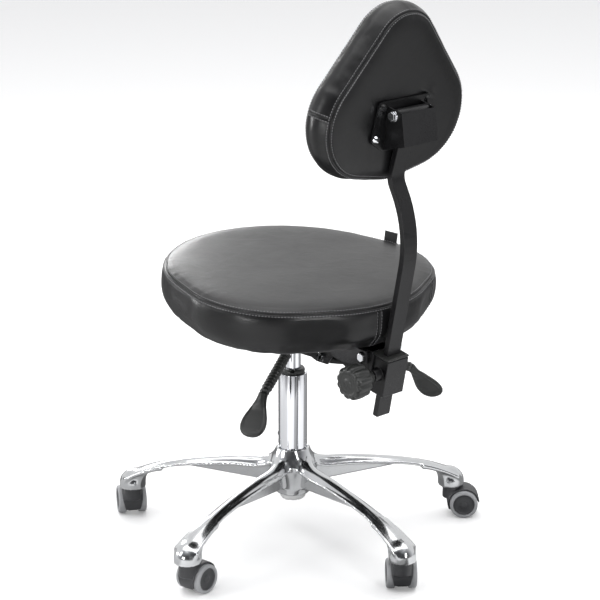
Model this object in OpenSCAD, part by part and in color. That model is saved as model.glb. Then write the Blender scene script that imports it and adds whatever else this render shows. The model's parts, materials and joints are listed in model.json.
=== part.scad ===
// Drum throne: five-arm caster base, gas column, tilting back carrier,
// upholstered seat and adjustable backrest.
// Origin on the floor under the column axis, +Z up. The sitter faces -Y, with +X to the left.

/* [Base] */
// Distance from the column axis to each caster stem
arm_reach = 300; // [280:5:320]
// Turn of the base about the column
base_turn = 11.7; // [0:0.1:72]
// Height of the underside of the caster sockets
socket_z = 57; // [56.5:0.1:58]
// Radius of the bell at each arm tip
bell_r = 23; // [21:0.5:25]

/* [Casters] */
// Wheel radius
wheel_r = 25; // [24.5:0.1:25]
// Stem to axle offset
trail = 22; // [20:0.5:23]
// Half the overall width over the two hub caps
caster_half_w = 25.5; // [24:0.1:26]
// Headings of the five casters about +Z
headings = [188, 229, 137, 205, 238];

/* [Column] */
// Outside radius of the bright column tube
tube_r = 25; // [25:0.01:25.02]
// Height of the top of the column tube
tube_top = 303; // [295:1:308]
// Radius of the pressure cylinder
cyl_r = 14; // [13.99:0.01:14]

/* [Seat] */
// Height of the seat's top seam above the floor at the column axis
seat_z = 490; // [488:1:500]
// Backward slope of the seat
seat_tilt = 4.2; // [3.8:0.1:4.5]
// Radius of the rear circle of the seat outline
seat_rear_r = 222; // [215:1:225]
// Radius of the nose circle of the seat outline
seat_nose_r = 110; // [104:1:114]
// Radius of the two side circles of the seat outline
seat_side_r = 160; // [154:1:164]
// Depth of the seat from the top seam to the underside
seat_depth = 71; // [70:0.5:72]

/* [Backrest] */
// Height of the middle of the backrest
back_z = 800; // [798:1:802]
// Distance of the backrest's rear seam behind the column axis
back_y = 250; // [248:1:251]
// Backward lean of the backrest
back_tilt = 8.5; // [8:0.1:9]
// Distance between the front and rear seams of the backrest
back_t = 58; // [50:1:62]

/* [Back bar] */
// Width of the flat bar
bar_w = 30; // [28:0.5:30]
// Thickness of the flat bar
bar_t = 10; // [8:0.5:10]
// Lean of the bar's straight lower part
bar_lean = 11.5; // [11:0.1:12]
// Length of the straight lower part
bar_straight = 268; // [262:1:274]

/* [Hidden] */

// Radial clearances, tightest first
snug = 0.03;
fit = 0.05;
slip = 0.06;

// Radii of round parts that other parts fit around
stem_r = 4.5;
stem_plug_r = 5.5;
axle_r = 3;
tread_seat_r = 19;
rod_r = 5;
rod_end_r = 3.5;
valve_r = 4;
socket_r = 19;
pivot_r = 6;
bolt_r = 4;
pin_r = 2.5;
lever_rod_r = 4;

// Axes across the throne, as (y, z)
tilt_pivot = [113, 366];
stop_bolt = [208, 389];
back_pivot = [270, 797];

black = [0.1, 0.1, 0.1];
housing_black = [0.12, 0.12, 0.12];
grip_black = [0.11, 0.12, 0.11];
pad_black = [0.07, 0.07, 0.08];

// ---------------------------------------------------------------- helpers
function reversed(list) = [for (k = [len(list) - 1 : -1 : 0]) list[k]];

module box(from, size) { translate(from) cube(size); }
module post(z, h, r, fn = 48) { translate([0, 0, z]) cylinder(r = r, h = h, $fn = fn); }
module ball(at, r, fn = 32) { translate(at) sphere(r = r, $fn = fn); }
module tube_z(r_out, r_in, z0, z1) {
  difference() {
    post(z0, z1 - z0, r_out, 64);
    post(z0 - 1, z1 - z0 + 2, r_in, 64);
  }
}
// a profile in (radius, z) turned about the z axis
module turned(fn, pts) { rotate_extrude($fn = fn) polygon(pts); }
// cylinder along x, its axis at (y, z)
module along_x(x0, x1, at, r, fn = 48) {
  translate([x0, at[0], at[1]]) rotate([0, 90, 0]) cylinder(r = r, h = x1 - x0, $fn = fn);
}
module bore_x(at, r) { along_x(-60, 60, at, r); }
module along_y(y, h, r, fn = 32) { rotate([-90, 0, 0]) post(y, h, r, fn); }
module across_y(half, r, fn = 32) { rotate([90, 0, 0]) post(-half, 2 * half, r, fn); }
// a flat profile in (y, z) drawn out along x
module slab_x(x0, x1, pts) {
  translate([x0, 0, 0]) rotate([90, 0, 90]) linear_extrude(x1 - x0) polygon(pts);
}
// a flat profile in (x, z) centred across y
module slab_y(half, pts) {
  rotate([90, 0, 0]) translate([0, 0, -half]) linear_extrude(2 * half) polygon(pts);
}
// a pair of side plates with outer faces at x = +-half
module cheeks(half, thick, pts) { for (x = [-half, half - thick]) slab_x(x, x + thick, pts); }
module rod(from, to, r) {
  span = to - from;
  length = norm(span);
  translate(from) rotate([0, acos(span[2] / length), atan2(span[1], span[0])])
    cylinder(r = r, h = length, $fn = 32);
}
// thin discs of an upholstery outline, each (x, y, radius), grown by a margin
module disc_layer(discs, grow, fn) {
  for (d = discs) translate([d[0], d[1], 0]) cylinder(r = d[2] + grow, h = 0.2, $fn = fn);
}

// ---------------------------------------------------------------- frames
function arm_angle(i) = base_turn + 72 * i;

module at_arm(i) { rotate([0, 0, arm_angle(i)]) children(); }
module at_tip(i) { at_arm(i) translate([arm_reach, 0, 0]) children(); }
// local +X points from the stem to the axle
module at_caster(i) { at_tip(i) rotate([0, 0, headings[i] - arm_angle(i)]) children(); }
module in_seat() { translate([0, 0, seat_z]) rotate([-seat_tilt, 0, 0]) children(); }
module in_back() { translate([0, back_y, back_z]) rotate([-back_tilt, 0, 0]) children(); }
module in_bar() { translate([0, bar_foot[0], bar_foot[1]]) rotate([-bar_lean, 0, 0]) children(); }

// ---------------------------------------------------------------- base
// Taper at the foot of the column tube and in the hub
taper = 1.6;
taper_z = 84;
taper_h = 78;
taper_top = taper_z + taper_h;

// Arm half width along the arm: (distance from the column axis, half width)
arm_plan = [[20, 18], [60, 15.5], [140, 13.2], [215, 12.5], [250, 14.5], [275, 19],
  [arm_reach, 21.5]];

// Heights of the arm's top and underside at a distance r from the column axis
function arm_top(r) = 148 - 0.135 * r - 25 * pow(r / arm_reach, 4.6) + 18 * exp(-(r - 25) / 14);
function flange_low(r) = arm_top(r) - 15 + 8 * min(1, max(0, (r - 60) / 160));
function arm_low(r) =
  min(arm_top(r) - 6, max(socket_z + 12, flange_low(r) - 14 * pow(r / 290, 12)));

module arm() {
  stations = [for (r = [24 : 12 : arm_reach]) r];
  intersection() {
    slab_y(40, concat([for (r = stations) [r, arm_top(r)]],
      [for (r = reversed(stations)) [r, arm_low(r)]]));
    translate([0, 0, 40]) linear_extrude(160)
      polygon(concat([for (p = arm_plan) [p[0], -p[1]]], reversed(arm_plan)));
  }
  // web under the arm
  slab_y(8, [[24, 99], [60, 102], [120, 106], [205, 111], [215, 112.5], [215, arm_top(215) - 2],
    [140, arm_top(140) - 2], [70, arm_top(70) - 3], [24, arm_top(70) - 3]]);
}
module bell() {
  turned(64, [[0, socket_z], [bell_r - 1, socket_z], [bell_r, socket_z + 1],
    [bell_r, socket_z + 6], [bell_r - 1.8, socket_z + 13], [bell_r - 5.5, socket_z + 20],
    [bell_r - 12, socket_z + 25], [0, socket_z + 26.5]]);
}
module base_casting() {
  color("lightgray") difference() {
    union() {
      turned(96, [[10, 84.2], [27.5, 84.2], [29, 86], [30, 106], [34, 118], [41, 128], [41, 138],
        [36, 147], [30.5, 157], [27.8, 168], [10, 168]]);
      for (i = [0 : 4]) {
        at_arm(i) arm();
        at_tip(i) bell();
      }
    }
    translate([0, 0, taper_z])
      cylinder(r1 = tube_r - taper + fit, r2 = tube_r + fit, h = taper_h, $fn = 96);
    post(taper_top - 0.1, 30, tube_r + fit, 96);
    for (i = [0 : 4]) at_tip(i) post(socket_z - 1, 23.5, stem_plug_r + fit);
  }
}
module caster_stems() {
  color("silver") for (i = [0 : 4]) at_tip(i) {
    post(34, 24, stem_r);
    post(socket_z + 0.1, 22, stem_plug_r);
  }
}

// ---------------------------------------------------------------- column
tube_foot = 88;

module column_tube() {
  color("silver") difference() {
    union() {
      translate([0, 0, tube_foot])
        cylinder(r1 = tube_r - taper + taper * (tube_foot - taper_z) / taper_h, r2 = tube_r,
          h = taper_top - tube_foot, $fn = 96);
      // starts just below the top of the taper, so that the two overlap
      post(taper_top - 0.05, tube_top - taper_top + 0.05, tube_r, 96);
    }
    post(92, 300, 21.5, 96);
    post(0, 200, rod_r + 0.08);
  }
}
module guide_bush() { color("dimgray") tube_z(21.4, cyl_r + slip, 214, tube_top - 1); }
module column_collar() {
  bore_r = cyl_r + 0.4;
  low = tube_top + 0.1;
  high = tube_top + 8.5;
  color(black) difference() {
    turned(96, [[bore_r, low], [21, low], [21, tube_top + 5.5], [19.5, high], [bore_r, high]]);
    box([10, 12, tube_top + 4], [14, 5, 10]);
  }
}
module column_end_ring() {
  color("whitesmoke") difference() {
    turned(96, [[12, 73], [19.5, 73], [22, 76], [22.6, 84], [22.6, 87.8], [12, 87.8]]);
    for (k = [0 : 9]) rotate([0, 0, 36 * k]) box([17, -1.6, 72], [8, 3.2, 5]);
  }
}

// ---------------------------------------------------------------- gas column internals
// Cone at the head of the pressure cylinder
cone_z = 346;
cone_drop = 1;
cyl_top = 385;

module piston_rod() {
  color("silver") union() {
    post(81, 3.2, 3.6);
    post(84.1, 168, rod_r);
    post(252, 11, rod_end_r);
  }
}
module piston() { color("goldenrod") tube_z(10.95, rod_end_r + snug, 252.2, 262.2); }
module thrust_bearing() {
  color("gray") union() {
    tube_z(13, rod_r + snug, 92.1, 94);
    for (k = [0 : 7]) rotate([0, 0, 45 * k]) ball([9, 0, 95.9], 1.85, 24);
    tube_z(13, rod_r + snug, 97.8, 99.8);
  }
}
module retaining_clip() { color("gray") tube_z(9, rod_r + snug, 85.2, 87.4); }
module pressure_cylinder() {
  color("silver") turned(96, [[rod_r + slip, 127], [cyl_r, 127], [cyl_r, cone_z],
    [cyl_r - cone_drop, cyl_top], [valve_r + slip, cyl_top], [valve_r + slip, 342], [11, 342],
    [11, 134], [rod_r + slip, 134]]);
}
module rod_seal() { color(housing_black) tube_z(10.9, rod_r + slip, 134.1, 142); }
module valve_button() { color("white") post(352, 39.85, valve_r); }

// ---------------------------------------------------------------- mechanism
lever_turn = 20; // levers point this far behind square
// Levers: (pivot, side), side +1 for +X and -1 for -X
height_lever = [[48, 45, 368], 1];
tilt_lever = [[-48, tilt_pivot[0], tilt_pivot[1]], -1];
mount_z = -seat_depth - 3.6; // underside of the mounting plate in the seat frame

// Height at y of a plane parallel to the seat's underside and d below it
function under(y, d) = seat_z - (seat_depth + d) / cos(seat_tilt) - y * tan(seat_tilt);

// turned with the lever about its pivot, x still across the throne
module at_lever(lever) { translate(lever[0]) rotate([0, 0, lever[1] * lever_turn]) children(); }
module lever_pin(lever, half, r) { at_lever(lever) along_y(-half, 2 * half, r); }
module lever_ears(lever) {
  at_lever(lever) for (s = [-1, 1])
    box([lever[1] > 0 ? -12.5 : -5, s * 9.5 - 1.5, -6], [17.5, 3, 12]);
}
module housing_shell() {
  // side plates
  cheeks(40, 3, [[-52, under(-52, 3.4)], [-52, 378], [-38, 358], [88, 360], [100, 356],
    [126, 356], [138, 373], [160, 370], [204, 372], [216, 380], [216, under(216, 3.4)]]);
  // floor
  slab_x(-37.5, 37.5, [[-38, 358], [52, 359.4], [52, 362.4], [-38, 361]]);
  // mounting plate and its rear extension
  in_seat() difference() {
    box([-80, -100, mount_z], [160, 222, 3.5]);
    box([-28, 18, mount_z - 0.4], [56, 70, 5]);
  }
  in_seat() box([-40, 120, mount_z], [80, 40, 3.5]);
  lever_ears(height_lever);
  lever_ears(tilt_lever);
}
module mechanism_housing() {
  color(housing_black) difference() {
    housing_shell();
    post(350, 30, socket_r + fit, 64);
    bore_x(tilt_pivot, pivot_r + slip);
    // arc slots that the stop bolt runs in
    translate([-60, tilt_pivot[0], tilt_pivot[1]]) rotate([90, 0, 90]) linear_extrude(120)
      intersection() {
        difference() {
          circle(r = 102.6, $fn = 96);
          circle(r = 92.8, $fn = 96);
        }
        polygon([[0, 0], for (a = [-1.8, 19]) 130 * [cos(a), sin(a)]]);
      }
    // opening for the inner end of the height lever
    hull() {
      along_x(36, 42, [36.5, 386], 11);
      along_x(36, 42, [33, 394], 11);
      along_x(36, 42, [41, 377], 9.5);
    }
    // room for the lever hubs, and the pin holes
    for (lever = [height_lever, tilt_lever]) {
      at_lever(lever) box([lever[1] > 0 ? -8.5 : -11.5, -7.9, -9], [20, 15.8, 18]);
      lever_pin(lever, 20, pin_r + snug);
    }
    in_seat() at_seat_bolts() post(-100, 60, 4.3, 32);
  }
}
module lever_pins() {
  color("silver") {
    lever_pin(height_lever, 12.5, pin_r);
    lever_pin(tilt_lever, 12.5, pin_r);
  }
}
module column_socket() {
  color([0.14, 0.14, 0.14]) difference() {
    post(347, 31, socket_r, 64);
    translate([0, 0, cone_z])
      cylinder(r1 = cyl_r + fit, r2 = cyl_r - cone_drop + fit, h = cyl_top - cone_z, $fn = 96);
  }
}
module tilt_pivot_shaft() {
  color("silver") {
    along_x(-39.4, 44, tilt_pivot, pivot_r);
    along_x(40.1, 45, tilt_pivot, 8);
  }
}
// helical coil around the pivot shaft, a hexagonal wire section at each step
module return_spring() {
  turns = 9;
  turn_steps = 14;
  steps = turns * turn_steps;
  coil_r = 8.6;
  wire_r = 1.1;
  length = 28;
  points = [for (k = [0 : steps], j = [0 : 5])
    let (turn = 360 * k / turn_steps, r = coil_r + wire_r * cos(60 * j))
    [r * cos(turn), r * sin(turn), -length / 2 + length * k / steps + wire_r * sin(60 * j)]];
  sides = [for (k = [0 : steps - 1], j = [0 : 5])
    let (next = (j + 1) % 6)
    [6 * k + j, 6 * k + 6 + j, 6 * k + 6 + next, 6 * k + next]];
  ends = [[for (j = [0 : 5]) j], [for (j = [5 : -1 : 0]) 6 * steps + j]];
  color("gray") translate([0, tilt_pivot[0], tilt_pivot[1]]) rotate([0, 90, 0])
    polyhedron(points = points, faces = concat(sides, ends));
}

// ---------------------------------------------------------------- levers
// Points in the lever's own upright plane: (outward, up) from its pivot
lever_root = [0.12, 0.28];
grip_start = [10, -5];
grip_end = [98, -52];
paddle_tip = [150, -112];

function upright(p) = [p[0], 0, p[1]];
function slope(from, to) = atan2(to[1] - from[1], to[0] - from[0]);

// local +X points outward along the lever
module lever_frame(lever) {
  translate(lever[0]) rotate([0, 0, lever[1] > 0 ? lever_turn : 180 - lever_turn]) children();
}
module lever_hub() {
  difference() {
    union() {
      across_y(7.7, 6, 40);
      rod(upright(lever_root), upright(grip_end), lever_rod_r);
    }
    across_y(10, pin_r + slip);
  }
}
// hub and outer rod, with an inner arm bent at an elbow;
// radii are those of the first length, elbow, second length and end
module lever_rod(lever, elbow, end, radii) {
  union() {
    lever_frame(lever) lever_hub();
    difference() {
      union() {
        rod(lever[0], elbow, radii[0]);
        ball(elbow, radii[1]);
        rod(elbow, end, radii[2]);
        ball(end, radii[3]);
      }
      lever_pin(lever, 20, pin_r + slip);
    }
  }
}
module lever_grip() {
  length = norm(grip_end - grip_start);
  // ribbed sleeve
  translate(upright(grip_start)) rotate([0, 90 - slope(grip_start, grip_end), 0]) difference() {
    union() {
      for (k = [0 : 11]) translate([0, 0, 6 + 7 * k]) cylinder(r1 = 8.8, r2 = 7.4, h = 5, $fn = 40);
      post(4, length - 1, 7, 40);
    }
    post(-1, length + 1.2, lever_rod_r + fit, 32);
  }
  // flat paddle
  difference() {
    translate(upright(grip_end)) rotate([0, -slope(grip_end, paddle_tip), 0]) hull() {
      ball([6, 0, 0], 7.2, 28);
      for (y = [-11, 11]) translate([50, y, 0]) post(-3.5, 8, 12, 32);
      translate([64, 0, 0]) post(-4.5, 7.5, 13, 32);
    }
    rod(upright(grip_start), upright(grip_end + [1, -0.5]), lever_rod_r + 0.2);
  }
}
module height_lever_rod() {
  color("silver") lever_rod(height_lever, [34, 32, 396], [0, 0, 396], [3.5, 4.4, 3, 4]);
}
module height_lever_grip() { color(grip_black) lever_frame(height_lever) lever_grip(); }
module tilt_lever_rod() {
  y = tilt_pivot[0];
  color("silver") lever_rod(tilt_lever, [-45, y, 351], [-34.5, y, 348], [3.2, 3.6, 2.6, 3]);
}
module tilt_lever_grip() { color(grip_black) lever_frame(tilt_lever) lever_grip(); }
module tilt_clamp_pad() {
  color("gray") difference() {
    union() {
      along_x(-31.4, -27.4, tilt_pivot, 12);
      box([-31.4, tilt_pivot[0] - 5, 344], [4, 10, 20]);
    }
    along_x(-40, -20, tilt_pivot, pivot_r + slip);
  }
}

// ---------------------------------------------------------------- back carrier
knob_at = [0, 80.6]; // knob axis in the bar frame (y, z)
liner_size = [37, 17];

// upright block of (x, y) size in the bar frame, centred on the bar and grown by gap
module bar_block(size, z, h, gap = 0) {
  box([-size[0] / 2 - gap, -size[1] / 2 - gap, z], [size[0] + 2 * gap, size[1] + 2 * gap, h]);
}
module carrier_arm() {
  color(housing_black) difference() {
    union() {
      cheeks(27.2, 3.1, [[102, 360], [108, 353.5], [121, 353.5], [150, 359], [178, 346],
        [203, 331], [209.2, 330], [221, 388.2], [218, 397], [203, 398.5], [165, 388],
        [130, 379.5], [108, 379], [102, 372]]);
      // bridge between the cheeks
      slab_x(-24.2, 24.2, [[132, 372.5], [198, 382.5], [198, 385.5], [132, 375.5]]);
    }
    bore_x(tilt_pivot, pivot_r + slip);
    bore_x(stop_bolt, bolt_r + fit);
  }
}
module tilt_stop_bolt() {
  color("silver") {
    along_x(-46, 46, stop_bolt, bolt_r);
    along_x(40.4, 46, stop_bolt, 7.5, 6);
    along_x(-46, -40.4, stop_bolt, 7.5, 6);
  }
}
module clamp_housing() {
  color(black) in_bar() difference() {
    union() {
      box([-24, -21, 44], [48, 38, 64]);
      along_x(23.9, 40, knob_at, 11);
    }
    bar_block(liner_size, 40, 80, 0.1);
    along_x(0, 60, knob_at, bolt_r + slip);
  }
}
module housing_liner() {
  color([0.08, 0.08, 0.08]) in_bar() difference() {
    union() {
      bar_block(liner_size, 44.5, 66);
      box([-23, -19, 108.15], [46, 35, 5]);
      box([-24, -21.5, 110], [48, 39, 2.2]);
    }
    bar_block([bar_w, bar_t], 30, 120, 0.08);
    along_x(0, 60, knob_at, bolt_r + slip);
  }
}
module clamp_pad() {
  color("goldenrod") in_bar() along_x(bar_w / 2 + 0.2, bar_w / 2 + 4, knob_at, bolt_r);
}
module clamp_knob() {
  color(black) in_bar() {
    along_x(bar_w / 2 + 4.1, 64, knob_at, bolt_r);
    along_x(43, 62, knob_at, 12);
    // eight-lobed head
    translate([60.5, knob_at[0], knob_at[1]]) rotate([0, 90, 0]) linear_extrude(30) union() {
      circle(r = 25.6, $fn = 64);
      for (k = [0 : 7]) rotate(45 * k) translate([23.2, 0]) circle(r = 6, $fn = 32);
    }
  }
}

// ---------------------------------------------------------------- back bar
// From its foot the bar runs straight, bends forward, runs straight, bends backward.
// Points are (y, z); leans are from the vertical, positive toward the rear.
bar_foot = [213, 282];
lower_bend_r = 180;
mid_lean = -28;
mid_length = 12;
upper_bend_r = 30;
top_lean = 16;

function heading(lean) = [sin(lean), cos(lean)];
// point reached from a start by bending from one lean to another
function bend(start, lean_0, lean_1, r) =
  let (s = lean_1 > lean_0 ? 1 : -1)
  start + s * r * [cos(lean_0) - cos(lean_1), sin(lean_1) - sin(lean_0)];
// centre line stations along a bend, as (point, lean)
function bend_line(start, lean_0, lean_1, r, first, steps) =
  [for (k = [first : steps])
    let (lean = lean_0 + (lean_1 - lean_0) * k / steps)
    [bend(start, lean_0, lean, r), lean]];

lower_bend = bar_foot + bar_straight * heading(bar_lean);
upper_bend = bend(lower_bend, bar_lean, mid_lean, lower_bend_r) + mid_length * heading(mid_lean);
bar_line = concat([[bar_foot, bar_lean], [lower_bend, bar_lean]],
  bend_line(lower_bend, bar_lean, mid_lean, lower_bend_r, 1, 10),
  bend_line(upper_bend, mid_lean, top_lean, upper_bend_r, 0, 8),
  [[back_pivot - 4 * heading(top_lean), top_lean]]);

function bar_face(side) =
  [for (q = bar_line) q[0] + side * bar_t / 2 * [-cos(q[1]), sin(q[1])]];

module back_bar() {
  color(black) difference() {
    union() {
      slab_x(-bar_w / 2, bar_w / 2, concat(bar_face(1), reversed(bar_face(-1))));
      along_x(-34, 34, back_pivot, 10);
    }
    bore_x(back_pivot, bolt_r + slip);
  }
}

// ---------------------------------------------------------------- backrest
// In the backrest frame y = 0 is the rear seam and +y is to the rear.
// Fixings: (x, z)
back_fixings = [[57, -40], [-57, -40], [50, 11], [-50, 11]];
// Outline: (x, z, radius)
back_discs = [[0, 89, 68], [-62, -18, 88], [62, -18, 88], [0, 0, 118]];
// Pad sections: (y, growth of the outline)
back_layers = [[1.6, -46], [0.2, -3], [-8, 4.8], [-back_t / 2, 8], [-back_t + 8, 4.2],
  [-back_t, -3], [-back_t - 9, -42]];

module at_back_fixings() { for (p = back_fixings) translate([p[0], 0, p[1]]) children(); }
// plate with its rear face at y
module back_plate(y, thick, grow) {
  translate([0, y, 0]) rotate([90, 0, 0]) linear_extrude(thick) hull()
    for (d = back_discs) translate([d[0], d[1]]) circle(r = d[2] + grow, $fn = 48);
}
module backrest_pad() {
  color(pad_black) in_back() difference() {
    hull() for (p = back_layers)
      translate([0, p[0], 0]) rotate([90, 0, 0]) disc_layer(back_discs, p[1], 48);
    back_plate(-3.6, 11, -14);
    at_back_fixings() along_y(-24, 40, 5.9);
  }
}
module backrest_board() {
  color("burlywood") in_back() difference() {
    back_plate(-4.2, 9.8, -16);
    at_back_fixings() along_y(-24, 40, 5.6);
  }
}
module backrest_fixings() {
  color("silver") in_back() at_back_fixings() {
    along_y(-22, 30, 3);
    along_y(-14, 9.6, 5.5);
    translate([0, 6.65, 0]) rotate([-90, 0, 0]) cylinder(r1 = 6.6, r2 = 4.2, h = 4.2, $fn = 32);
  }
}
module backrest_bracket() {
  rear_low = [294, 751];
  rear_high = [287, 803];
  color(black) difference() {
    union() {
      // plate against the backrest
      in_back() translate([0, 6.55, 0]) rotate([90, 0, 0]) linear_extrude(3) difference() {
        hull() {
          for (p = back_fixings) translate(p) circle(r = 9, $fn = 32);
          translate([-38, -62]) square([76, 74]);
        }
        for (p = back_fixings) translate(p) circle(r = 3.2, $fn = 32);
      }
      cheeks(38, 3, [[246.6, 739], rear_low, rear_high, [257.4, 810]]);
      slab_x(-35.5, 35.5, [[291, 750.2], rear_low, rear_high, [284, 802.6]]);
    }
    bore_x(back_pivot, bolt_r + slip);
  }
}
module backrest_pivot_bolt() {
  color("silver") {
    along_x(-45, 45, back_pivot, bolt_r);
    along_x(38.1, 40, back_pivot, 9);
    along_x(40, 45, back_pivot, 7.5, 6);
    along_x(-45, -38.1, back_pivot, 7.5, 6);
  }
}

// ---------------------------------------------------------------- seat
// In the seat frame z = 0 is the top seam. Bolts: (x, y)
seat_bolts_at = [[62, -78], [-62, -78], [62, 92], [-62, 92]];
seat_side_at = [73, 40];
// Outline: (x, y, radius)
seat_discs = [[0, 9, seat_rear_r], [-seat_side_at[0], seat_side_at[1], seat_side_r],
  [seat_side_at[0], seat_side_at[1], seat_side_r], [0, -103, seat_nose_r]];
// Pad and board sections: (z, growth of the outline)
pad_layers = [[-seat_depth + 12.1, -4], [-34, 6], [-14, 4], [-0.2, -2], [9, -58]];
board_layers = [[-seat_depth, -17], [-seat_depth + 2, -13], [-seat_depth + 11.8, -6]];

module at_seat_bolts() { for (p = seat_bolts_at) translate([p[0], p[1], 0]) children(); }
module seat_stack(layers) {
  hull() for (p = layers) translate([0, 0, p[0]]) disc_layer(seat_discs, p[1], 64);
}
module seat_pad() { color(pad_black) in_seat() seat_stack(pad_layers); }
module seat_board() {
  color("burlywood") in_seat() difference() {
    seat_stack(board_layers);
    at_seat_bolts() {
      post(-seat_depth - 2, 40, 5.6, 32);
      post(-seat_depth + 10.2, 10, 10.3, 32);
    }
  }
}
module seat_bolts() {
  color("silver") in_seat() at_seat_bolts() {
    post(-seat_depth - 8.8, 5.1, 7.5, 6);
    post(-seat_depth - 4, 13, bolt_r, 32);
  }
}
module seat_tee_nuts() {
  color("gray") in_seat() at_seat_bolts() difference() {
    union() {
      post(-seat_depth + 0.4, 11, 5.5, 32);
      post(-seat_depth + 10.3, 1.4, 10.2, 32);
    }
    post(-seat_depth - 1, 20, bolt_r + fit, 32);
  }
}
// small upright tab on the -X edge of the seat
module label_tab() {
  color([0.2, 0.2, 0.2]) in_seat() translate([-seat_side_at[0], seat_side_at[1], 0])
    rotate([0, 0, 192]) box([seat_side_r - 1, -13, 0.6], [1.2, 26, 20]);
}

// ---------------------------------------------------------------- casters
module at_axle() { translate([trail, 0, wheel_r]) children(); }
// a turned profile in (radius, distance from the middle), once on each side
module wheel_pair(fn, pts) { for (s = [-1, 1]) at_axle() rotate([s * 90, 0, 0]) turned(fn, pts); }
module hood(i) {
  color([0.25, 0.26, 0.27]) at_caster(i) difference() {
    union() {
      post(12, socket_z - 12.2, 15.5, 64);
      at_axle() across_y(8.2, wheel_r + 3, 64);
      intersection() {
        at_axle() across_y(22, wheel_r + 3.4, 64);
        box([-20, -30, wheel_r + 1], [100, 60, 60]);
      }
      box([-11, -21, 12], [12, 42, 33]);
    }
    // wheel wells
    for (y = [8.9, -40]) at_axle() along_y(y, 31.1, wheel_r + 0.9, 64);
    post(30, 60, stem_r + slip);
    at_axle() across_y(40, axle_r + slip);
    // open underside and lower rear
    box([-5, -40, -10], [80, 80, 20]);
    box([trail, -30, wheel_r - 40], [60, 60, 40]);
  }
}
module axle(i) { color("silver") at_caster(i) at_axle() across_y(20, axle_r); }
module wheels(i) {
  bore_r = axle_r + slip;
  color([0.22, 0.23, 0.24]) at_caster(i) wheel_pair(64, [[bore_r, 9.4], [8, 9.4], [8, 12],
    [14, 12], [14, 9.6], [tread_seat_r, 9.6], [tread_seat_r, 21], [17.5, 22.2],
    [17, caster_half_w - 1.6], [12, caster_half_w - 0.4], [0, caster_half_w], [0, 20.6],
    [bore_r, 20.6]]);
}
module treads(i) {
  bore_r = tread_seat_r + fit;
  color([0.62, 0.63, 0.64]) at_caster(i) wheel_pair(96, [[bore_r, 10], [wheel_r - 1.2, 10],
    [wheel_r, 11.2], [wheel_r, 19.6], [wheel_r - 1.4, 21.4], [wheel_r - 3.4, 22.4],
    [bore_r, 22.4]]);
}

base_casting();
caster_stems();
column_tube();
guide_bush();
column_collar();
column_end_ring();
piston_rod();
piston();
thrust_bearing();
retaining_clip();
pressure_cylinder();
rod_seal();
valve_button();
mechanism_housing();
column_socket();
seat_board();
seat_pad();
seat_bolts();
seat_tee_nuts();
label_tab();
tilt_pivot_shaft();
return_spring();
lever_pins();
height_lever_rod();
height_lever_grip();
tilt_lever_rod();
tilt_lever_grip();
tilt_clamp_pad();
carrier_arm();
tilt_stop_bolt();
clamp_housing();
housing_liner();
clamp_pad();
clamp_knob();
back_bar();
backrest_bracket();
backrest_pivot_bolt();
backrest_board();
backrest_pad();
backrest_fixings();
hood(0);  // caster_1_hood
axle(0);  // caster_1_axle
wheels(0);  // caster_1_wheels
treads(0);  // caster_1_treads
hood(1);  // caster_2_hood
axle(1);  // caster_2_axle
wheels(1);  // caster_2_wheels
treads(1);  // caster_2_treads
hood(2);  // caster_3_hood
axle(2);  // caster_3_axle
wheels(2);  // caster_3_wheels
treads(2);  // caster_3_treads
hood(3);  // caster_4_hood
axle(3);  // caster_4_axle
wheels(3);  // caster_4_wheels
treads(3);  // caster_4_treads
hood(4);  // caster_5_hood
axle(4);  // caster_5_axle
wheels(4);  // caster_5_wheels
treads(4);  // caster_5_treads
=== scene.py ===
"""Looks of a round-nosed stool with a backrest, built round its CAD frame.

The column stands on the z axis with the floor at z = 0. The backrest is on the +y side, the
front is -y and the sitter's right is -x. Pieces are shaped in millimetres, which make() turns
into metres; lights and camera are in metres. Angles are in degrees unless noted.
"""

import json
import math
import bmesh
import bpy
import numpy as np
from mathutils import Matrix, Vector

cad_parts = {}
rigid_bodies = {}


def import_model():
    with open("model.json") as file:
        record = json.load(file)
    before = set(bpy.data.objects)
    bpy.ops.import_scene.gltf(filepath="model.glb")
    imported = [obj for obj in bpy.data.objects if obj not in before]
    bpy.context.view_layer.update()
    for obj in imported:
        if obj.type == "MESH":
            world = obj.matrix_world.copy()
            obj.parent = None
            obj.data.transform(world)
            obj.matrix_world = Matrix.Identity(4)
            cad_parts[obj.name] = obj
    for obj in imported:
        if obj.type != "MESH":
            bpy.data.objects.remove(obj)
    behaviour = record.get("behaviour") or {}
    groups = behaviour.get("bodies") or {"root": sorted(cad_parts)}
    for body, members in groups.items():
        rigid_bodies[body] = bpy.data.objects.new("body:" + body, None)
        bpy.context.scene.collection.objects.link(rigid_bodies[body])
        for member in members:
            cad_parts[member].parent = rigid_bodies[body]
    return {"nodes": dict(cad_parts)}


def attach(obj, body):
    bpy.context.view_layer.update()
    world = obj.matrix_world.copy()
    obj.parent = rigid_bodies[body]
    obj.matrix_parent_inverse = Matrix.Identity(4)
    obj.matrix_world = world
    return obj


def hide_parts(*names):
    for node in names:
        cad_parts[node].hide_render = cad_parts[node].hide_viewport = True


for old in list(bpy.data.objects):
    bpy.data.objects.remove(old)
frame_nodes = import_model()["nodes"]
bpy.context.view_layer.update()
scene = bpy.context.scene
MM = 0.001


# ------------------------------------------------------------------ numbers
def rad(degrees):
    return degrees * math.pi / 180


def smooth_step(start, end, value):
    share = np.clip((value - start) / (end - start), 0, 1)
    return share * share * (3 - 2 * share)


def hump(distance, width):
    """A bell-shaped bump of height 1."""
    return np.exp(-(distance / width) ** 2)


def soft_min(one, other, blend):
    """Union of two fields, rounded where they differ by less than blend."""
    near = np.maximum(blend - np.abs(one - other), 0) / blend
    return np.minimum(one, other) - near * near * blend / 4


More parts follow.
